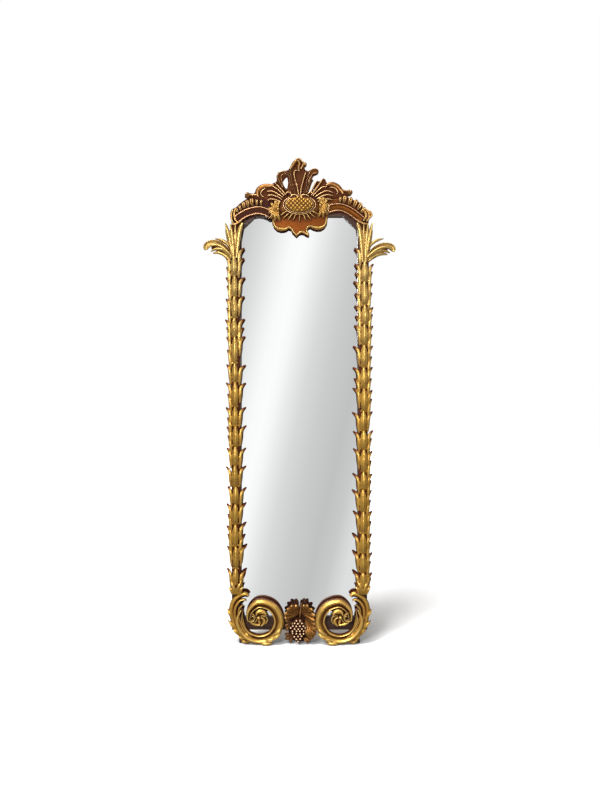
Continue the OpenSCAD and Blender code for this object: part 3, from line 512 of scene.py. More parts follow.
# Dark grapes with a painted highlight: a pale cap on each face that looks forwards
DARK = gilt("dark_gilt", (0.05, 0.015, 0.007), (0.9, 0.62, 0.36), (0.03, 0.008, 0.003), (4, 10),
            metal=0.2, front_highlight=0.9)
STAINED = ((0.06, 0.026, 0.014), (0.028, 0.011, 0.006))
PINE = ((0.62, 0.43, 0.24), (0.5, 0.31, 0.15))


def named(side, word):
    """Name of a piece or node on one side."""
    return ("left_" if side < 0 else "right_") + word


# ---- palm trunks ----

INNER, OUTER = -1, 1
CORE_D = 12
CORE_W = TRUNK_W * 0.96
# Room left under the arm and under the head leaf
GAP = 2
# Heights of the tips of the tongues, counted down from the root of the head leaf
TIER_TIPS = {
    -1: (0, 72, 150, 233, 300, 403, 471, 565, 638, 715, 784, 865, 928, 1007, 1088, 1173, 1232),
    1: (21, 93, 184, 255, 333, 417, 495, 582, 654, 724, 811, 874, 958, 1041, 1115, 1187, 1240)}
# Rows of a tongue: (share of the way up, d, w, h). Those in BELLY sway.
TONGUE = (
    (0, 12, 12, 6), (0.12, 15, 18, 8), (0.28, 22, 26, 11), (0.5, 24, 30, 12), (0.74, 22, 26, 12),
    (0.88, 20, 18, 11), (0.97, 19, 8, 7), (1.03, 17, 2, 2))
BELLY = (2, 3)
# The tongues of the trunk on the left are slimmer
TONGUE_SLIM = {-1: 0.8, 1: 0.88}
OVERLAP = 12
# How far the sheaths flare out, and how often a tier has a second one
FLARE = {INNER: 38, OUTER: 34}
SECOND_SHEATH = {INNER: 0.17, OUTER: 0.67}
SHEATH_LENGTH = 76
SHORTEST_SHEATH = 22
# Rows of a sheath: (out, d, share of the way up, w, h, turn)
SHEATH = ((15, 9, 0, 10, 6, 10), (17, 14, 0.35, 14, 8, 18), (19, 14, 0.7, 14, 8, 26))
# Those of its tip: (share of the flare, d, up, w, h, turn)
SHEATH_TIP = ((0.4, 9, -10, 12, 6, 26), (0.8, 5, -3, 9, 4, 20), (1, 3, 1, 4, 3, 10))
BEAD_R = 2.9
# Two leaves that part at the foot, on each hand: rows of (out, d, up, w, h)
FOOT_LEAVES = (
    ((3, 20, 0, 13, 8), (8, 26, 23, 15, 9), (14, 27, 37.72, 9.1, 7), (20, 22, 46, 2, 2)),
    ((12, 20, 0, 12, 8), (17, 21.5, 14, 14, 9), (23, 22.5, 22.96, 8.4, 7), (29, 17.5, 28, 2, 2)))


def palm_trunk(side):
    """A core, dark with painted shade, hung with tiers of leaves."""
    c = Carving(side, 11 + side)
    half_turn = [pi * k / 12 for k in range(13)]
    levels = [lerp(FOOT_Z, COLLAR_Z - GAP, i / 40) for i in range(41)]
    c.skin([[(trunk_x(z) - CORE_W / 2 * cos(a), CORE_D * sin(a), z) for a in half_turn] for z in levels])
    tips = TIER_TIPS[side]
    for tip, below in zip(tips, tips[1:]):
        tier(c, HEAD_Z - GAP - tip, HEAD_Z - GAP - below)
    # over the wrapping leaf of the scroll
    foot_x = trunk_x(FOOT_Z)
    for hand in (INNER, OUTER):
        for leaf in FOOT_LEAVES:
            rows = [(foot_x + hand * out, d, FOOT_Z + up, w, h) for out, d, up, w, h in leaf]
            c.blade(rows, fluted(2, 0.3), 16)
    trunk_head(c)
    c.finish(named(side, "palm_trunk"), "bright_gilt", BRIGHT, 2.0, 2)


def tier(c, tip, below):
    """A tongue that starts under the tip of the tier below, with sheaths and beads at both sides."""
    jitter = c.random.uniform
    x = trunk_x(tip) + jitter(-1.5, 1.5)
    low = max(below - OVERLAP, FOOT_Z)
    sway = x + jitter(-1, 1)
    slim = TONGUE_SLIM[c.side]
    c.blade([(sway if i in BELLY else x, d, lerp(low, tip, t), w * slim, h)
             for i, (t, d, w, h) in enumerate(TONGUE)], keeled, 28)
    middle = lerp(below, tip, 0.5)
    for hand in (INNER, OUTER):
        side_leaf(c, x, hand, tip - jitter(-2, 9), FLARE[hand] + jitter(-2, 2))
        if c.random.random() < SECOND_SHEATH[hand]:
            side_leaf(c, x, hand, middle + jitter(-5, 5), FLARE[hand] - 4)
        c.ball(x + hand * jitter(8.5, 11), 19, tip + jitter(0, 5), BEAD_R)


def side_leaf(c, x, hand, tip, flare):
    """A sheath that hugs the trunk and flares out at its tip."""
    root = max(tip - SHEATH_LENGTH, FOOT_Z)
    if tip - root < SHORTEST_SHEATH:
        return
    hug = SHEATH[-1][0]
    rows = [(x + hand * out, d, lerp(root, tip, t), w, h, hand * turn) for out, d, t, w, h, turn in SHEATH]
    rows += [(x + hand * lerp(hug, flare, t), d, tip + up, w, h, hand * turn)
             for t, d, up, w, h, turn in SHEATH_TIP]
    c.blade(rows, bar, 20)


# Blades of the head leaf: rows of (out, share of the way up, w), and d
HEAD_BLADES = (
    (((13, 0.12, 8), (18, 0.36, 13), (24, 0.6, 13), (29, 0.78, 9), (32, 0.86, 2)), 11),
    (((6, -0.06, 9), (11, 0.28, 12), (17, 0.58, 15), (26, 0.86, 11), (33, 1.03, 3)), 17),
    (((2, -0.06, 9), (4, 0.36, 12), (8, 0.7, 12), (12, 0.92, 8), (14, 1.0, 3)), 19),
    (((-3, 0.2, 6), (-4, 0.55, 9), (-4, 0.82, 8), (-4, 1.0, 4)), 15),
    (((-8, -0.06, 10), (-13, 0.34, 16), (-17, 0.64, 19), (-23, 0.88, 17), (-31, 1.03, 8)), 16))
# The head leaf on the right is narrower and starts lower
HEAD_SPREAD = {-1: 1, 1: 0.87}
HEAD_DROP = {-1: 0, 1: 16}


def trunk_head(c):
    """Smooth blades that fan out from the last tier to the collar of the arm."""
    root_z = HEAD_Z - HEAD_DROP[c.side]
    spread = HEAD_SPREAD[c.side]
    for rows, d in HEAD_BLADES:
        c.blade([(trunk_x(HEAD_Z) + out * spread, d + 3 * t, lerp(root_z, COLLAR_Z - GAP, t), w * 0.92,
                  4 + w * 0.45, out) for out, t, w in rows], bar, 24)
    side_leaf(c, trunk_x(HEAD_Z), INNER, HEAD_Z + 32, FLARE[INNER])


# Leaflets of a frond: rows of (share of its reach, up, d, w, h)
FROND = (
    ((-0.06, 10, 14, 16, 9), (0.22, 50, 17, 22, 10), (0.55, 66, 19, 25, 10), (0.82, 62, 20, 26, 10),
     (0.92, 50, 20, 25, 9), (0.91, 40, 20, 16, 6)),
    ((-0.1, 28, 12, 10, 7), (0.08, 60, 13, 13, 8), (0.3, 76, 14, 13, 7), (0.58, 84, 12, 4, 3)),
    ((-0.06, 14, 22, 9, 8), (0.19, 41, 26, 11, 8), (0.4, 54, 28, 11, 7), (0.64, 57, 28, 9, 6),
     (0.8, 48, 27, 4, 3)),
    ((-0.04, 8, 18, 10, 8), (0.14, 31, 20, 14, 9), (0.32, 42, 22, 15, 9), (0.55, 43, 21, 13, 7),
     (0.74, 34, 20, 5, 4)),
    ((-0.02, -2, 14, 12, 7), (0.2, 20, 15, 15, 8), (0.44, 31, 15, 15, 7), (0.66, 28, 14, 6, 4)))
# Thin web behind them, set deep so that painted shade shows dark between them: (share of the reach, up, w)
FROND_WEB = ((-0.02, 12, 26), (0.18, 34, 38), (0.36, 48, 34), (0.56, 52, 24), (0.74, 52, 12))
FROND_DROP = 140
# The frond on the right hangs lower, but for its upright leaflet, and reaches further out
RIGHT_HANG = 0.84
RIGHT_REACH = 1.1
UPRIGHT = 1


def palm_frond(side):
    """A long curled leaflet with four shorter ones round it."""
    c = Carving(side, 21 + side)
    root_z = COLLAR_Z - FROND_DROP
    root_x = trunk_x(root_z) + TRUNK_W / 2 - 3
    reach = FROND_TIP - root_x - 4
    hang = RIGHT_HANG if side > 0 else 1
    for k, leaflet in enumerate(FROND):
        lower = 1 if k == UPRIGHT else hang
        longer = RIGHT_REACH if side > 0 and k > UPRIGHT else 1
        c.blade([(root_x + reach * x * longer, d, root_z + z * lower, w * 0.9, h)
                 for x, z, d, w, h in leaflet], bar if k else scooped, 26)
    # the web lies deep, so it takes the painted shade
    c.blade([(root_x + reach * x, 4, root_z + z * hang, w, 4) for x, z, w in FROND_WEB], bar, 20)
    c.finish(named(side, "palm_frond"), "bright_gilt", BRIGHT, 1.0, 3)


# ---- scroll feet ----

# Turn of the scroll: (degrees, share of the radius, share of w)
SCROLL_TURN = (
    (15, 0.48, 0.36), (50, 0.62, 0.64), (90, 0.775, 0.83), (135, 0.82, 0.92), (180, 0.85, 1.0),
    (225, 0.81, 0.96), (270, 0.755, 0.86), (315, 0.78, 0.85), (360, 0.87, 0.74), (395, 0.9, 0.34))
SCROLL_W = 38
SCROLL_D = 36
# The eye: its (x, z) from the middle, the turn it takes, and how its moulding widens
EYE = (29, 13)
EYE_R = 10
EYE_FROM, EYE_TO = 90, 360
EYE_WIDTH = (0.12, 0.3)
EYE_SUNK = 5
# Leaf lips on the moulding: (degrees, share of the radius) of their broad end
LIPS = ((200, 0.92), (214, 0.99), (229, 0.93), (243, 1.0))
# Rows of a lip: (degrees and share from there, depth under SCROLL_D, w, h)
LIP = ((24, -0.12, 8, 8, 5), (11, -0.05, 3, 14, 7), (0, 0, 4, 10, 6), (-7, 0.05, 9, 2, 2))


def on_scroll(angle, r, d, w, h):
    """Row of a blade at a direction and a share of the radius of the scroll."""
    a = radians(angle)
    return SCROLL_X + SCROLL_R * r * cos(a), d, SCROLL_Z + SCROLL_R * r * sin(a), w, h


def scroll(side):
    """Standing C scroll that winds from its eye to a thin end."""
    c = Carving(side, 31 + side)
    rows = []
    for turn in range(EYE_FROM, EYE_TO, 45):
        a = radians(turn)
        w = SCROLL_W * lerp(*EYE_WIDTH, (turn - EYE_FROM) / (EYE_TO - EYE_FROM))
        rows.append((SCROLL_X + EYE[0] + EYE_R * cos(a), 0, SCROLL_Z + EYE[1] + EYE_R * sin(a), w,
                     SCROLL_D - EYE_SUNK))
    rows += [on_scroll(a, r, 0, SCROLL_W * w, SCROLL_D) for a, r, w in SCROLL_TURN]
    c.blade(rows, moulding, 150, 0)
    for a, r in LIPS:
        c.blade([on_scroll(a + turn, r + out, SCROLL_D - sunk, w, h) for turn, out, sunk, w, h in LIP],
                fluted(2, 0.35), 14, 0)
    c.finish(named(side, "scroll"), "bright_gilt", SCROLLED, 1.2, 3)


# Ribs of the wrapping leaf, from the floor up: rows of (x, z, w), d and h
WRAP_RIBS = (
    (((158, 9, 10), (190, 16, 14), (222, 40, 17), (246, 78, 18), (257, 122, 18), (250, 158, 18),
      (228, 182, 18), (205, 190, 16), (190, 181, 8)), 9, 15),
    (((165, 14, 9), (198, 30, 12), (224, 62, 13), (240, 100, 13), (241, 136, 12), (226, 162, 11),
      (208, 169, 8), (199, 164, 4)), 13, 13),
    (((176, 24, 8), (203, 48, 10), (220, 80, 11), (228, 112, 11), (225, 136, 9), (212, 150, 5)), 15, 12),
    (((184, 34, 6), (204, 62, 8), (212, 90, 8), (215, 114, 6), (211, 128, 3)), 15, 10))
# Its leaf tips, first those of the outer edge: (x, z) of root, belly and tip
WRAP_TIPS = (
    ((238, 56), (254, 74), (269, 90)), ((226, 36), (240, 50), (254, 66)), ((206, 18), (220, 27), (231, 38)),
    ((190, 8), (208, 12), (224, 20)), ((246, 96), (262, 116), (270, 132)), ((214, 52), (224, 62), (229, 76)),
    ((184, 22), (196, 36), (200, 52)), ((196, 30), (212, 44), (219, 60)))
OUTER_TIPS = 5


def scroll_leaf(side):
    """Acanthus leaf with a hooked upper end, round the outer side of the scroll."""
    c = Carving(side, 41 + side)
    for rows, d, h in WRAP_RIBS:
        c.blade([(x, d, z, w, h) for x, z, w in rows], bar, 48, 0)
    for k, ((x0, z0), (x1, z1), (x2, z2)) in enumerate(WRAP_TIPS):
        d = 14 if k < OUTER_TIPS else 20
        c.blade([(x0, d, z0, 11, 8), (x1, d + 3, z1, 13, 9), (x2, d - 4, z2, 3, 3)], fluted(2, 0.35), 14, 0)
    c.finish(named(side, "scroll_leaf"), "bright_gilt", BRIGHT, 1.2, 3)


# Petals of the rosette: rows of (x, z, w) from its bead, d and h
PETALS = (
    (((8, 11, 4), (5, 21, 11), (-5, 26, 17), (-17, 24, 17), (-26, 17, 10), (-28, 9, 3)), 19, 13),
    (((-9, 5, 4), (-19, 8, 6), (-29, 11, 5), (-35, 17, 2)), 12, 7),
    (((-18, 4, 3), (-28, 3, 5), (-33, -6, 6), (-31, -16, 5), (-26, -24, 2)), 12, 8),
    (((-9, 1, 4), (-17, -3, 8), (-22, -12, 10), (-18, -24, 9), (-9, -31, 3)), 15, 9),
    (((1, -8, 4), (-3, -16, 9), (-4, -24, 10), (3, -31, 4)), 10, 7),
    (((-6, -29, 4), (6, -28, 9), (18, -25, 10), (29, -19, 8), (37, -10, 3)), 12, 7),
    (((7, -6, 4), (10, -14, 6), (17, -19, 4)), 11, 7),
    (((38, 18, 7), (31, 18, 9), (21, 14, 8), (14, 4, 8), (18, -8, 8), (29, -9, 7), (34, 1, 5)), 16, 9))
ROSETTE_W = 72
ROSETTE_H = 62
# The disc behind them, dark with painted shade: (d, share of the rosette's size)
ROSETTE_DISC = ((0, 0.86), (8, 0.82), (10, 0.6))
# The bead's (x, z) from the middle of the scroll
ROSETTE_BEAD = (3, 14)


def rosette(side):
    """Whorl of petals in the mouth of the scroll, round a bead."""
    c = Carving(side, 51 + side)
    x, z = SCROLL_X + ROSETTE_BEAD[0], SCROLL_Z + ROSETTE_BEAD[1]
    c.skin([oval(x, z, q * ROSETTE_W / 2, q * ROSETTE_H / 2, d, 32) for d, q in ROSETTE_DISC])
    for rows, d, h in PETALS:
        c.blade([(x + a, d, z + b, w * 1.15, h) for a, b, w in rows], bar, 22)
    c.ball(x, 21, z, 7.5)
    c.ball(x + 26, 18, z + 3, 4)
    c.finish(named(side, "rosette"), "bright_gilt", SCROLLED, 0.9, 2)


# ---- grapes and vine leaves ----

GRAPE_ROWS = (2, 3, 4, 5, 4, 4, 3, 2, 1)
GRAPE_R = 6.6
GRAPE_PITCH = 13.6
BUNCH_X = -5
BUNCH_TOP = 94
BUNCH_FOOT = 15
# Room between a bead and the front of the CAD box
CLEAR = 0.5
# The dark mass behind the grapes: (z, half w, d)
BUNCH_CORE = ((98, 12, 16), (76, 26, 20), (52, 25, 22), (30, 15, 18), (14, 6, 14))


def grapes():
    """Grapes over a dark mass."""
    c = Carving(1, 5)
    jitter = c.random.uniform
    for r, count in enumerate(GRAPE_ROWS):
        u = r / (len(GRAPE_ROWS) - 1)
        z = lerp(BUNCH_TOP, BUNCH_FOOT, u)
        for i in range(count):
            x = (i - (count - 1) / 2) * GRAPE_PITCH
            d = 17 + 17 * (1 - (x / 36) ** 2) * (1 - 0.5 * u * u)
            d = min(d, MOST_D - GRAPE_R - CLEAR)
            c.ball(BUNCH_X + x + jitter(-1, 1), d, z + jitter(-1.2, 1.2), GRAPE_R)
    c.skin([oval(BUNCH_X, z, w, 3, d, 16) for z, w, d in BUNCH_CORE])
    c.finish("grape_bunch", "dark_gilt", DARK, 0, 0)


# Vine leaves: (x, z) of the stalk end and of the tips of the ribs, and d of the tips
VINE_LEAVES = (
    ((-4, 112), ((-56, 102), (-57, 118), (-47, 138), (-32, 151), (-14, 152)), 38),
    ((10, 116), ((18, 153), (32, 152), (50, 136), (59, 114), (57, 94)), 40),
    ((24, 98), ((62, 74), (63, 54), (57, 34), (46, 22), (36, 34)), 33),
    ((-22, 34), ((-54, 36), (-52, 18), (-36, 8)), 11), ((-30, 84), ((-54, 88), (-56, 68), (-50, 52)), 14),
    ((14, 26), ((40, 16), (30, 8)), 20))
# The twig over the bunch, and the thin ground that joins the leaves
TWIG = ((2, 8, 96, 9, 6), (3, 14, 122, 8, 7), (7, 12, 154, 6, 5))
VINE_GROUND = [(-26, 12), (26, 12), (40, 60), (34, 118), (-30, 120), (-42, 50)]


def vine_leaves():
    """Ribbed leaves that curl forwards at their tips."""
    c = Carving(1, 6)
    for (x, z), tips, tip_d in VINE_LEAVES:
        near = min(15, tip_d - 4)
        for tip_x, tip_z in tips:
            away = hypot(tip_x - x, tip_z - z)
            c.blade([(x, 9, z, 6, 5), (lerp(x, tip_x, 0.4), near, lerp(z, tip_z, 0.4), away * 0.3, 8),
                     (lerp(x, tip_x, 0.78), lerp(near, tip_d, 0.5), lerp(z, tip_z, 0.78), away * 0.44, 9),
                     (tip_x, tip_d - 4, tip_z, 8, 6)], fluted(3, 0.22), 16, 0)
    c.blade(TWIG, bar, 14)
    c.slab(rounded(VINE_GROUND), 5, 2)
    c.finish("vine_leaves", "bronzed_gilt", LEAFY, 1.1, 3, "vine_leaf_carving")


# ---- crest ----

# On the crest, up is measured from the middle of the cabochon

def crest(x, up, d, w, h):
    """Row of a blade on the crest."""
    return x, d, CREST_Z + up, w, h


def crest_loop(outline):
    """Outline of a slab on the crest."""
    return [(x, CREST_Z + up) for x, up in outline]


def crest_ribs(c, ribs, d, h, section=bar, steps=20):
    """Ribs on the crest, each a row of (x, up, w)."""
    for line in ribs:
        c.blade([crest(x, up, d, w, h) for x, up, w in line], section, steps)


# Outline of the cartouche with its apron, and the line of the apron's rim
APRON = [
    (-104, -45), (-103, -66), (-97, -80), (-86, -91), (-70, -96), (-54, -94), (-43, -87), (-34, -88),
    (-29, -95), (-27, -102), (-19, -105), (-12, -117), (-3, -107), (8, -103), (20, -106), (33, -115),
    (38, -110), (35, -102), (29, -93), (33, -85), (41, -81), (52, -87), (66, -91), (82, -90), (96, -81),
    (105, -66), (107, -45), (112, -28), (108, -8), (98, 10), (70, 15), (58, 32), (40, 42), (-40, 42),
    (-58, 32), (-70, 15), (-96, 8), (-107, -8), (-112, -28)]
APRON_RIM = [
    (-98, -44), (-98, -64), (-92, -77), (-80, -87), (-66, -91), (-52, -89), (-42, -82), (-33, -84),
    (-24, -96), (-12, -110), (-1, -102), (11, -98), (31, -109), (26, -92), (31, -81), (41, -77), (54, -82),
    (68, -86), (82, -84), (94, -75), (100, -60), (101, -44)]
# Where the rim is broad, at each side: middle and half width
LOBE_X = 70
LOBE_W = 30


def apron():
    """Smooth hanging apron."""
    c = Carving(1, 61)
    c.slab(crest_loop(APRON), 9, 2)
    c.finish("cartouche", "bronzed_gilt", AMBER, 1.2, 3, "cartouche_apron")


def apron_rim():
    """Raised rim of the apron."""
    c = Carving(1, 60)
    rows = []
    for x, up in APRON_RIM:
        broad = max(0, 1 - abs(abs(x) - LOBE_X) / LOBE_W)
        rows.append(crest(x, up + 3 * broad, 6, 7 + 7 * broad, 8))
    c.blade(rows, bar, 150)
    c.finish("cartouche", "bronzed_gilt", RIMMED, 1.1, 2, "cartouche_rim")


# Ribs under the cabochon: (x, up) of start and end, and their rows: (share of the way, d, w, h)
SKIRT = (
    (-46, -22, -72, -40), (-36, -28, -60, -50), (-25, -31, -42, -55), (-13, -34, -24, -58), (0, -33, 0, -62),
    (13, -34, 25, -59), (25, -32, 43, -55), (36, -28, 60, -48), (46, -22, 72, -37))
SKIRT_RIB = ((0, 18, 3, 6), (0.5, 17, 5, 8), (0.85, 14, 5, 8), (1, 12, 2, 4))
# The swell behind them: (half w, half h, d)
SWELL = ((98, 40, 5), (96, 39, 8), (84, 36, 12), (70, 34, 15), (60, 32, 16))
SWELL_UP = -4
# Leafy lobes beside the cabochon: (side, x, up), the rows of a leaf, and where the leaves end
LOBES = ((-1, -88, -20), (1, 86, -6))
LOBE_LEAF = ((0.45, 20, 13, 9), (0.85, 16, 12, 9), (1, 12, 5, 5))
LOBE_TIPS = ((-14, -38), (4, -38), (19, -28), (28, -10), (27, 8), (18, 26), (2, 36), (-12, 34))


def cartouche_field():
    """Ribbed swell under the cabochon, with a leafy lobe at each side."""
    c = Carving(1, 62)
    c.skin([oval(0, CREST_Z + SWELL_UP, r, h, d) for r, h, d in SWELL])
    for x0, z0, x1, z1 in SKIRT:
        c.blade([crest(lerp(x0, x1, t), lerp(z0, z1, t), *rest) for t, *rest in SKIRT_RIB], bar, 14)
    for side, x, dz in LOBES:
        for out, up in LOBE_TIPS:
            c.blade([crest(x - 10 * side, dz, 18, 6, 7)]
                    + [crest(x + side * out * t, dz + up * t, *rest) for t, *rest in LOBE_LEAF],
                    fluted(2, 0.3), 14)
        c.ball(x - 8 * side, 27, CREST_Z + dz + 2, 5.5)
    c.finish("cartouche", "bronzed_gilt", FIELD, 1.0, 2)


CAB_HALF_W = (CAB_HIGH.x - CAB_LOW.x) / 2
CAB_HALF_H = (CAB_HIGH.z - CAB_LOW.z) / 2
CAB_LOW_D = FACE_Y - CAB_HIGH.y
CAB_RISE = MOST_D - CAB_LOW_D
# The dome: (share of the size of the face, share of the rise)
DOME = ((1, 0), (1, 0.16), (0.9, 0.34), (0.66, 0.5), (0.36, 0.59), (0.1, 0.62))
# Pitch of the pillows, their radius, and the rows above and below the middle
LATTICE = 15.5
PILLOW_R = LATTICE * 0.37
LATTICE_ROWS = 5
# The border and its two rings: (share of the size, d)
BORDER = ((0.98, 10), (0.98, 18), (0.9, 20), (0.76, 20))
BORDER_RINGS = ((0.98, 17), (0.85, 20))
# Small leaves over the cabochon and over its border
TOP_LEAF = ((2, 27, 6), (12, 34, 8), (26, 34, 7), (34, 27, 4))
SHOULDER_LEAF = ((30, 38, 5), (38, 47, 7), (47, 46, 7), (52, 38, 4))


def cabochon():
    """Domed face of small pillows set in diamonds."""
    c = Carving(1, 63)
    face_w, face_h = CAB_HALF_W * 0.8, CAB_HALF_H * 0.77
    c.skin([oval(0, CREST_Z, face_w * s, face_h * s, CAB_LOW_D + CAB_RISE * u, 96) for s, u in DOME])
    across = int(face_w / LATTICE) + 1
    for j in range(-LATTICE_ROWS, LATTICE_ROWS + 1):
        for k in range(-across, across + 1):
            x, z = (k + (j % 2) / 2) * LATTICE, j * LATTICE / 2
            q = (x / face_w) ** 2 + (z / face_h) ** 2
            if q < 0.9:
                d = CAB_LOW_D + CAB_RISE * (0.68 - 0.4 * q)
                c.ball(x, min(d, MOST_D - PILLOW_R - CLEAR), CREST_Z + z, PILLOW_R)
    c.finish("cabochon", "bright_gilt", LATTICED, 0.7, 1)


def cabochon_border():
    """Two thin rings round the cabochon, and small leaves over its top."""
    c = Carving(1, 64)
    c.skin([oval(0, CREST_Z, CAB_HALF_W * s, CAB_HALF_H * s, d) for s, d in BORDER])
    for share, d in BORDER_RINGS:
        ring = [p + (4.5, 7) for p in oval(0, CREST_Z, CAB_HALF_W * share, CAB_HALF_H * share, d)]
        c.blade(ring + ring[:1], bar, 144)
    for side in (-1, 1):
        for leaf, d, h in ((TOP_LEAF, 24, 11), (SHOULDER_LEAF, 15, 10)):
            crest_ribs(c, [[(side * x, up, w) for x, up, w in leaf]], d, h)
    c.finish("cabochon", "bronzed_gilt", CRESTED, 1.0, 2, "cabochon_border")


# The body of the plume, and its left lobe that leaves a slit open
PLUME_BODY = [
    (-40, 30), (40, 30), (34, 62), (35, 71), (45, 83), (53, 96), (46, 104), (55, 113), (68, 118), (73, 126),
    (69, 134), (58, 139), (44, 138), (32, 131), (22, 136), (18, 150), (-26, 150), (-41, 137), (-46, 108),
    (-43, 86), (-46, 68), (-52, 60)]
PLUME_LOBE = [
    (-38, 137), (-50, 134), (-70, 128), (-80, 128), (-87, 113), (-86, 96), (-90, 89), (-66, 62), (-50, 48),
    (-40, 40), (-44, 60), (-55, 63), (-61, 72), (-62, 92), (-51, 107), (-42, 108)]
# Ribs: rows of (x, up, w)
PLUME_PALE = (
    ((-2, 30, 8), (-7, 60, 7), (-16, 94, 7), (-20, 116, 8), (-16, 128, 7), (-6, 128, 4)),
    ((3, 30, 8), (7, 64, 7), (15, 94, 7), (20, 112, 7), (24, 122, 4)))
PLUME_RIBS = (
    ((-12, 36, 6), (-24, 62, 8), (-33, 92, 9), (-36, 124, 8), (-26, 142, 5)),
    ((14, 38, 6), (26, 62, 8), (31, 88, 9), (38, 110, 12), (51, 127, 19), (63, 127, 20), (68, 122, 12)),
    ((-62, 68, 6), (-72, 92, 12), (-76, 110, 17), (-65, 120, 15), (-50, 120, 7)),
    ((-48, 60, 4), (-56, 62, 5), (-64, 74, 4)), ((-44, 112, 5), (-54, 124, 8), (-66, 127, 4)),
    ((26, 44, 5), (36, 62, 7), (42, 80, 7), (50, 96, 4)), ((34, 88, 5), (42, 98, 7), (50, 108, 4)))
# The slabs of the plume and the fans
SLAB_D = 12
SLAB_ROUND = 7


def plume():
    """Leaf over the cabochon, with hollow leaves round two high ribs."""
    c = Carving(1, 65)
    for loop in (PLUME_BODY, PLUME_LOBE):
        c.slab(crest_loop(loop), SLAB_D, SLAB_ROUND)
    crest_ribs(c, PLUME_PALE, 13, 12)
    crest_ribs(c, PLUME_RIBS, 10, 12, scooped, 24)
    c.finish("crest_plume", "bronzed_gilt", CRESTED, 1.0, 3)


FINIAL = [
    (-42, 137), (-30, 150), (-22, 165), (-15, 174), (-4, 179), (6, 177), (10, 168), (20, 164), (28, 157),
    (25, 147), (17, 144), (17, 137)]
FINIAL_RIBS = (
    ((-36, 134, 8), (-26, 148, 14), (-18, 161, 15), (-9, 170, 10)),
    ((-14, 172, 7), (-4, 173, 10), (5, 170, 9), (8, 162, 5)),
    ((-2, 126, 6), (-3, 142, 12), (0, 156, 13), (-5, 167, 7)),
    ((5, 136, 7), (12, 147, 12), (15, 157, 11), (10, 165, 5)))


def finial():
    """Rolled leaf at the top."""
    c = Carving(1, 66)
    # its back lies in front of the plume's, not in one plane with it
    c.slab(crest_loop(FINIAL), 10, 4, 1.5)
    crest_ribs(c, FINIAL_RIBS, 11, 12)
    c.ball(21, 16, CREST_Z + 154, 7)
    c.finish("crest_finial", "bronzed_gilt", CRESTED, 0.9, 2)


FAN = {
    -1: [(-20, 12), (-62, 62), (-90, 89), (-100, 86), (-106, 80), (-130, 80), (-150, 75), (-164, 60),
        (-172, 46), (-180, 47), (-190, 49), (-206, 45), (-207, 32), (-196, 27), (-184, 27), (-120, 16),
        (-60, 8)],
    1: [(20, 12), (38, 54), (55, 60), (57, 80), (68, 94), (78, 93), (91, 105), (98, 99), (104, 85), (122, 89),
        (140, 83), (155, 70), (168, 60), (180, 59), (190, 60), (200, 50), (195, 39), (184, 36), (172, 32),
        (120, 24), (60, 12)]}
FAN_RIBS = {
    -1: (((-52, 38, 6), (-68, 58, 9), (-82, 72, 9), (-94, 84, 4)),
        ((-58, 34, 6), (-80, 57, 8), (-102, 70, 8), (-124, 68, 4)),
        ((-62, 28, 6), (-86, 44, 8), (-106, 52, 8), (-124, 50, 3)),
        ((-66, 20, 5), (-86, 32, 7), (-106, 37, 7), (-120, 34, 3)),
        ((-70, 12, 5), (-92, 20, 7), (-108, 22, 7), (-122, 16, 3)),
        ((-96, 74, 9), (-127, 72, 20), (-148, 63, 23), (-158, 48, 20), (-156, 32, 9)),
        ((-160, 38, 8), (-174, 37, 9), (-188, 38, 8)),
        ((-128, 62, 5), (-142, 52, 6), (-145, 40, 5), (-136, 30, 3))),
    1: (((44, 36, 6), (60, 58, 9), (76, 80, 10), (90, 102, 4)),
        ((50, 34, 6), (72, 56, 8), (88, 67, 8), (104, 68, 4)),
        ((58, 29, 6), (82, 45, 8), (104, 53, 8), (126, 46, 4)),
        ((64, 22, 5), (86, 33, 7), (106, 38, 7), (126, 34, 3)),
        ((68, 12, 5), (88, 20, 7), (108, 22, 7), (124, 18, 3)),
        ((100, 74, 10), (120, 79, 20), (141, 71, 22), (155, 56, 19), (164, 42, 9)),
        ((114, 66, 6), (132, 63, 7), (144, 50, 6), (140, 38, 3)), ((150, 62, 8), (164, 55, 10), (180, 52, 8)),
        ((40, 44, 5), (50, 62, 7), (60, 82, 7), (68, 92, 3)))}
# The ball curl at its end
FAN_CURL = {-1: (-195, 38), 1: (190, 48)}


def fan(side):
    """Ribbed fan with a rolled leaf and a ball curl."""
    c = Carving(1, 67 + side)
    c.slab(crest_loop(FAN[side]), SLAB_D, SLAB_ROUND)
    crest_ribs(c, FAN_RIBS[side], 10, 13)
    x, up = FAN_CURL[side]
    c.ball(x, 16, CREST_Z + up, 10.5)
    c.ball(x + 2 * side, 26, CREST_Z + up + 2, 4)
    c.finish(named(side, "crest_fan"), "bronzed_gilt", CRESTED, 1.0, 3)


# The channel of each arm: its middle line, width and distance forward
ARM_LINE = {
    -1: ((110, -36), (120, -30), (136, -24), (154, -21), (176, -24), (196, -30), (216, -41), (236, -55)),
    1: ((112, -16), (124, -12), (138, -10), (156, -10), (176, -17), (196, -28), (216, -43), (234, -58))}
ARM_W = 29
ARM_D = 27
# The cap at the end of the channel: (x, up, w)
ARM_CAP = ((3, 12.5, 5), (-4, 4, 6), (-4, -6, 6), (5, -13.5, 5))
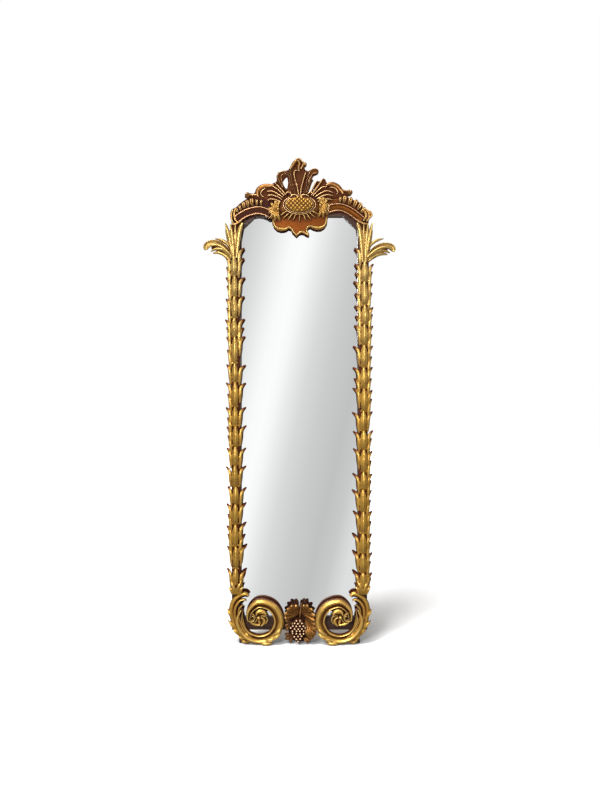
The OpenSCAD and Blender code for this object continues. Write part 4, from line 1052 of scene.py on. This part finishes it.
# The board behind the arm
ARM_BOARD = {
    -1: [(98, 20), (130, 24), (182, 31), (200, 26), (212, 18), (226, 8), (240, -6), (255, -12), (262, -28),
        (258, -40), (256, -75), (214, -75), (216, -57), (196, -46), (176, -40), (154, -36), (136, -38),
        (116, -46), (98, -50)],
    1: [(98, 20), (130, 26), (182, 34), (196, 22), (210, 22), (222, 16), (233, 8), (241, -6), (252, -22),
        (264, -26), (270, -40), (262, -54), (260, -75), (214, -75), (214, -58), (196, -44), (176, -32),
        (156, -24), (136, -24), (100, -28)]}
# Leaf knobs along its back: (x, up, lean, size)
KNOBS = {
    -1: ((144, 2, 0.0, 9), (160, 2, 0.05, 11), (178, 0, 0.1, 17), (193, -5, 0.2, 16), (207, -11, 0.3, 14),
        (220, -19, 0.4, 11), (231, -28, 0.5, 10)),
    1: ((152, 12, 0.1, 11), (168, 10, 0.15, 17), (187, 4, 0.3, 18), (205, -5, 0.45, 18), (220, -15, 0.6, 16),
        (232, -27, 0.75, 13))}
# Ribs of the leafy collar at its outer end
COLLAR = {
    -1: (((241, -14, 8), (245, -34, 9), (243, -52, 9), (232, -66, 6)),
        ((250, -18, 7), (256, -36, 9), (254, -56, 8), (248, -70, 4)),
        ((216, -58, 6), (228, -66, 8), (242, -72, 7), (254, -73, 4))),
    1: (((236, -18, 9), (247, -28, 12), (250, -44, 12), (240, -60, 7)),
        ((248, -16, 8), (260, -28, 12), (262, -46, 11), (252, -62, 5)),
        ((214, -54, 7), (226, -62, 10), (241, -70, 9), (256, -72, 4)),
        ((256, -22, 6), (267, -27, 9), (272, -37, 8), (266, -48, 4)))}




def arm(side):
    """Curved arm with a cap at the end of its channel."""
    c = Carving(side, 71 + side)
    c.slab(crest_loop(ARM_BOARD[side]), 10, 3)
    c.blade([crest(x, up, 0, ARM_W, ARM_D) for x, up in ARM_LINE[side]], channel, 60)
    x, up = ARM_LINE[side][0]
    c.blade([crest(x + out, up + more, 16, w, 11) for out, more, w in ARM_CAP], bar, 16)
    finish = BRONZE if side > 0 else UMBER
    c.finish(named(side, "arm"), "bronzed_gilt", finish, 1.1, 3)


def arm_leaves(side):
    """Leaf knobs and collar of the arm."""
    c = Carving(side, 74 + side)
    for x, up, lean, size in KNOBS[side]:
        c.blade([crest(x, up, 8, 10, 9), crest(x + size * 0.5 * lean, up + size * 0.5, 14, size, 11),
                 crest(x + size * lean, up + size, 15, size * 1.05, 11),
                 crest(x + size * 1.2 * lean, up + size * 1.3, 10, 6, 6)], fluted(2, 0.45), 12)
    crest_ribs(c, COLLAR[side], 13, 12, fluted(2, 0.3), 18)
    c.finish(named(side, "arm"), "bronzed_gilt", CROCKETED, 1.1, 3, named(side, "arm_leaves"))


# ---- the frame ----

def dress_frame():
    """Finishes for the CAD nodes that stay. What isn't in the list is hardware."""
    finishes = {"mirror_glass": silvered_glass()}
    upright = ("left_stile", "right_stile", "crest_batten", "left_rear_foot", "right_rear_foot")
    for finish, names in (
            (wood("stained_wood_across", *STAINED, 0), ("bottom_rail", "top_rail", "crest_board")),
            (wood("stained_wood_upright", *STAINED, 2), upright),
            (wood("pine_across", *PINE, 0, 0.6), ("frame_dowels", "setting_blocks")),
            (wood("pine_upright", *PINE, 2, 0.6), ("backboard", "glass_blocks"))):
        finishes.update({name: finish for name in names})
    hardware = steel()
    for name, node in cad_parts.items():
        if node.hide_render:
            continue
        node.data.materials.clear()
        node.data.materials.append(finishes.get(name, hardware))


# ---- studio, in metres ----

# Suns of the key light: (how far across and down they shine for SUN_BACK backwards, strength)
SUNS = ((0.62, 1.1, 1.3), (0.62, 1.8, 1.45), (0.35, 3.2, 1.3))
SUN_BACK = 0.78
SUN_ANGLE = 16
# Place, size and power of the soft boxes
SOFT_BOXES = {"front": ((-0.95, -3.2, 1.9), 0.8, 85), "fill": ((2.6, -2.6, 2.2), 1.6, 16)}
AIM = Vector((0, 0, 0.9))
FLOOR_REACH = 12


def place_lamp(name, kind, towards):
    """A light that shines along towards."""
    lamp = put(name, bpy.data.lights.new(name, kind))
    lamp.rotation_euler = towards.to_track_quat("-Z", "Y").to_euler()
    return lamp


def studio():
    """Pale floor that fades into white, and the lights."""
    floor = bpy.data.meshes.new("floor")
    corners = [(x * FLOOR_REACH, y * FLOOR_REACH, 0) for x, y in ((-1, -1), (1, -1), (1, 1), (-1, 1))]
    floor.from_pydata(corners, [], [(0, 1, 2, 3)])
    ground = put("floor", floor)
    n = Finish("pale_floor")
    away = n.add("VectorMath", operation="LENGTH")
    n.link(n.place, away.inputs[0])
    glow = n.ramp(n.math("DIVIDE", away.outputs["Value"], FLOOR_REACH), rise(0.12, 0.4))
    n.set(Base_Color=n.mix(n.noise(0.4, 2), (0.88, 0.88, 0.88), (0.92, 0.92, 0.92)), Roughness=0.7,
          Emission_Color=n.mix(glow, (0, 0, 0), (1, 1, 1)), Emission_Strength=1.0)
    floor.materials.append(n.material)
    ground.visible_glossy = False

    # one tall light, drawn as three suns, so that the shadow fades with its length
    for k, (across, down, energy) in enumerate(SUNS):
        sun = place_lamp("key_%d" % k, "SUN", Vector((across, SUN_BACK, -down)))
        sun.data.energy = energy
        sun.data.angle = radians(SUN_ANGLE)
    for name, (place, size, power) in SOFT_BOXES.items():
        lamp = place_lamp(name, "AREA", AIM - Vector(place))
        lamp.location = place
        lamp.data.shape = "DISK"
        lamp.data.size = size
        lamp.data.energy = power
    surroundings()


# The slanting strip of light in front of the glass: (distance from its middle, brightness)
STRIP = (
    (-0.25, 0.22), (-0.1, 0.62), (-0.072, 0.7), (-0.048, 0.84), (-0.024, 1.02), (-0.01, 1.1), (0.004, 1.12),
    (0.016, 1.07), (0.03, 0.95), (0.05, 0.8), (0.078, 0.69), (0.115, 0.61), (0.138, 0.67), (0.162, 0.84),
    (0.2, 0.88), (0.4, 0.22))
STRIP_SLANT = 0.225
STRIP_OFFSET = 0.048
# Brightness of the room from straight down to straight up
DOME_LIGHT = ((0.0, 0.05), (0.45, 0.12), (0.6, 0.24), (1.0, 0.42))


def surroundings():
    """White for the camera, and a grey room with a slanting strip of light for the gold and the glass."""
    world = bpy.data.worlds.new("studio")
    bpy.context.scene.world = world
    n = Nodes(world)
    way = n.axes(n.coordinates("Generated"))
    ahead = n.math("MAXIMUM", n.times(way["Y"], -1.0), 0.05)
    across = n.math("DIVIDE", way["X"], ahead)
    up = n.math("DIVIDE", way["Z"], ahead)
    off_strip = n.math("ADD", n.math("SUBTRACT", across, n.times(up, STRIP_SLANT)), STRIP_OFFSET)
    low, high = STRIP[0][0], STRIP[-1][0]
    place = n.math("DIVIDE", n.math("SUBTRACT", off_strip, low), high - low)
    strip = n.ramp(place, [((t - low) / (high - low), level) for t, level in STRIP])
    upward = n.math("ADD", n.times(way["Z"], 0.5), 0.5)
    dome = n.ramp(upward, DOME_LIGHT)
    room = n.add("Background")
    n.feed(room.inputs["Color"], n.mix(n.ramp(ahead, rise(0.86, 0.945)), dome, strip))
    white = n.add("Background")
    n.feed(white.inputs["Color"], (1, 1, 1))
    choose = n.add("MixShader")
    camera_ray = n.add("LightPath").outputs["Is Camera Ray"]
    for k, source in enumerate((camera_ray, room.outputs[0], white.outputs[0])):
        n.link(source, choose.inputs[k])
    n.link(choose.outputs[0], n.add("OutputWorld").inputs[0])


# The camera shows SHOWN_HEIGHT at the distance SHOWN_AT
CAMERA_PLACE = (0.002, -2.82, 0.919)
SHOWN_HEIGHT = 3.0
SHOWN_AT = 2.8


def camera():
    """Camera at the photograph's angle, straight on."""
    data = bpy.data.cameras.new("camera")
    data.lens = data.sensor_width * SHOWN_AT / SHOWN_HEIGHT
    eye = put("camera", data)
    eye.location = CAMERA_PLACE
    eye.rotation_euler = (radians(90), 0, 0)
    bpy.context.scene.camera = eye


for SIDE in (-1, 1):
    for make in (palm_trunk, palm_frond, scroll, scroll_leaf, rosette, fan, arm, arm_leaves):
        make(SIDE)
for make in (grapes, vine_leaves, apron, apron_rim, cartouche_field, cabochon, cabochon_border, plume, finial,
             dress_frame, studio, camera):
    make()
bpy.context.scene.view_settings.view_transform = "Standard"
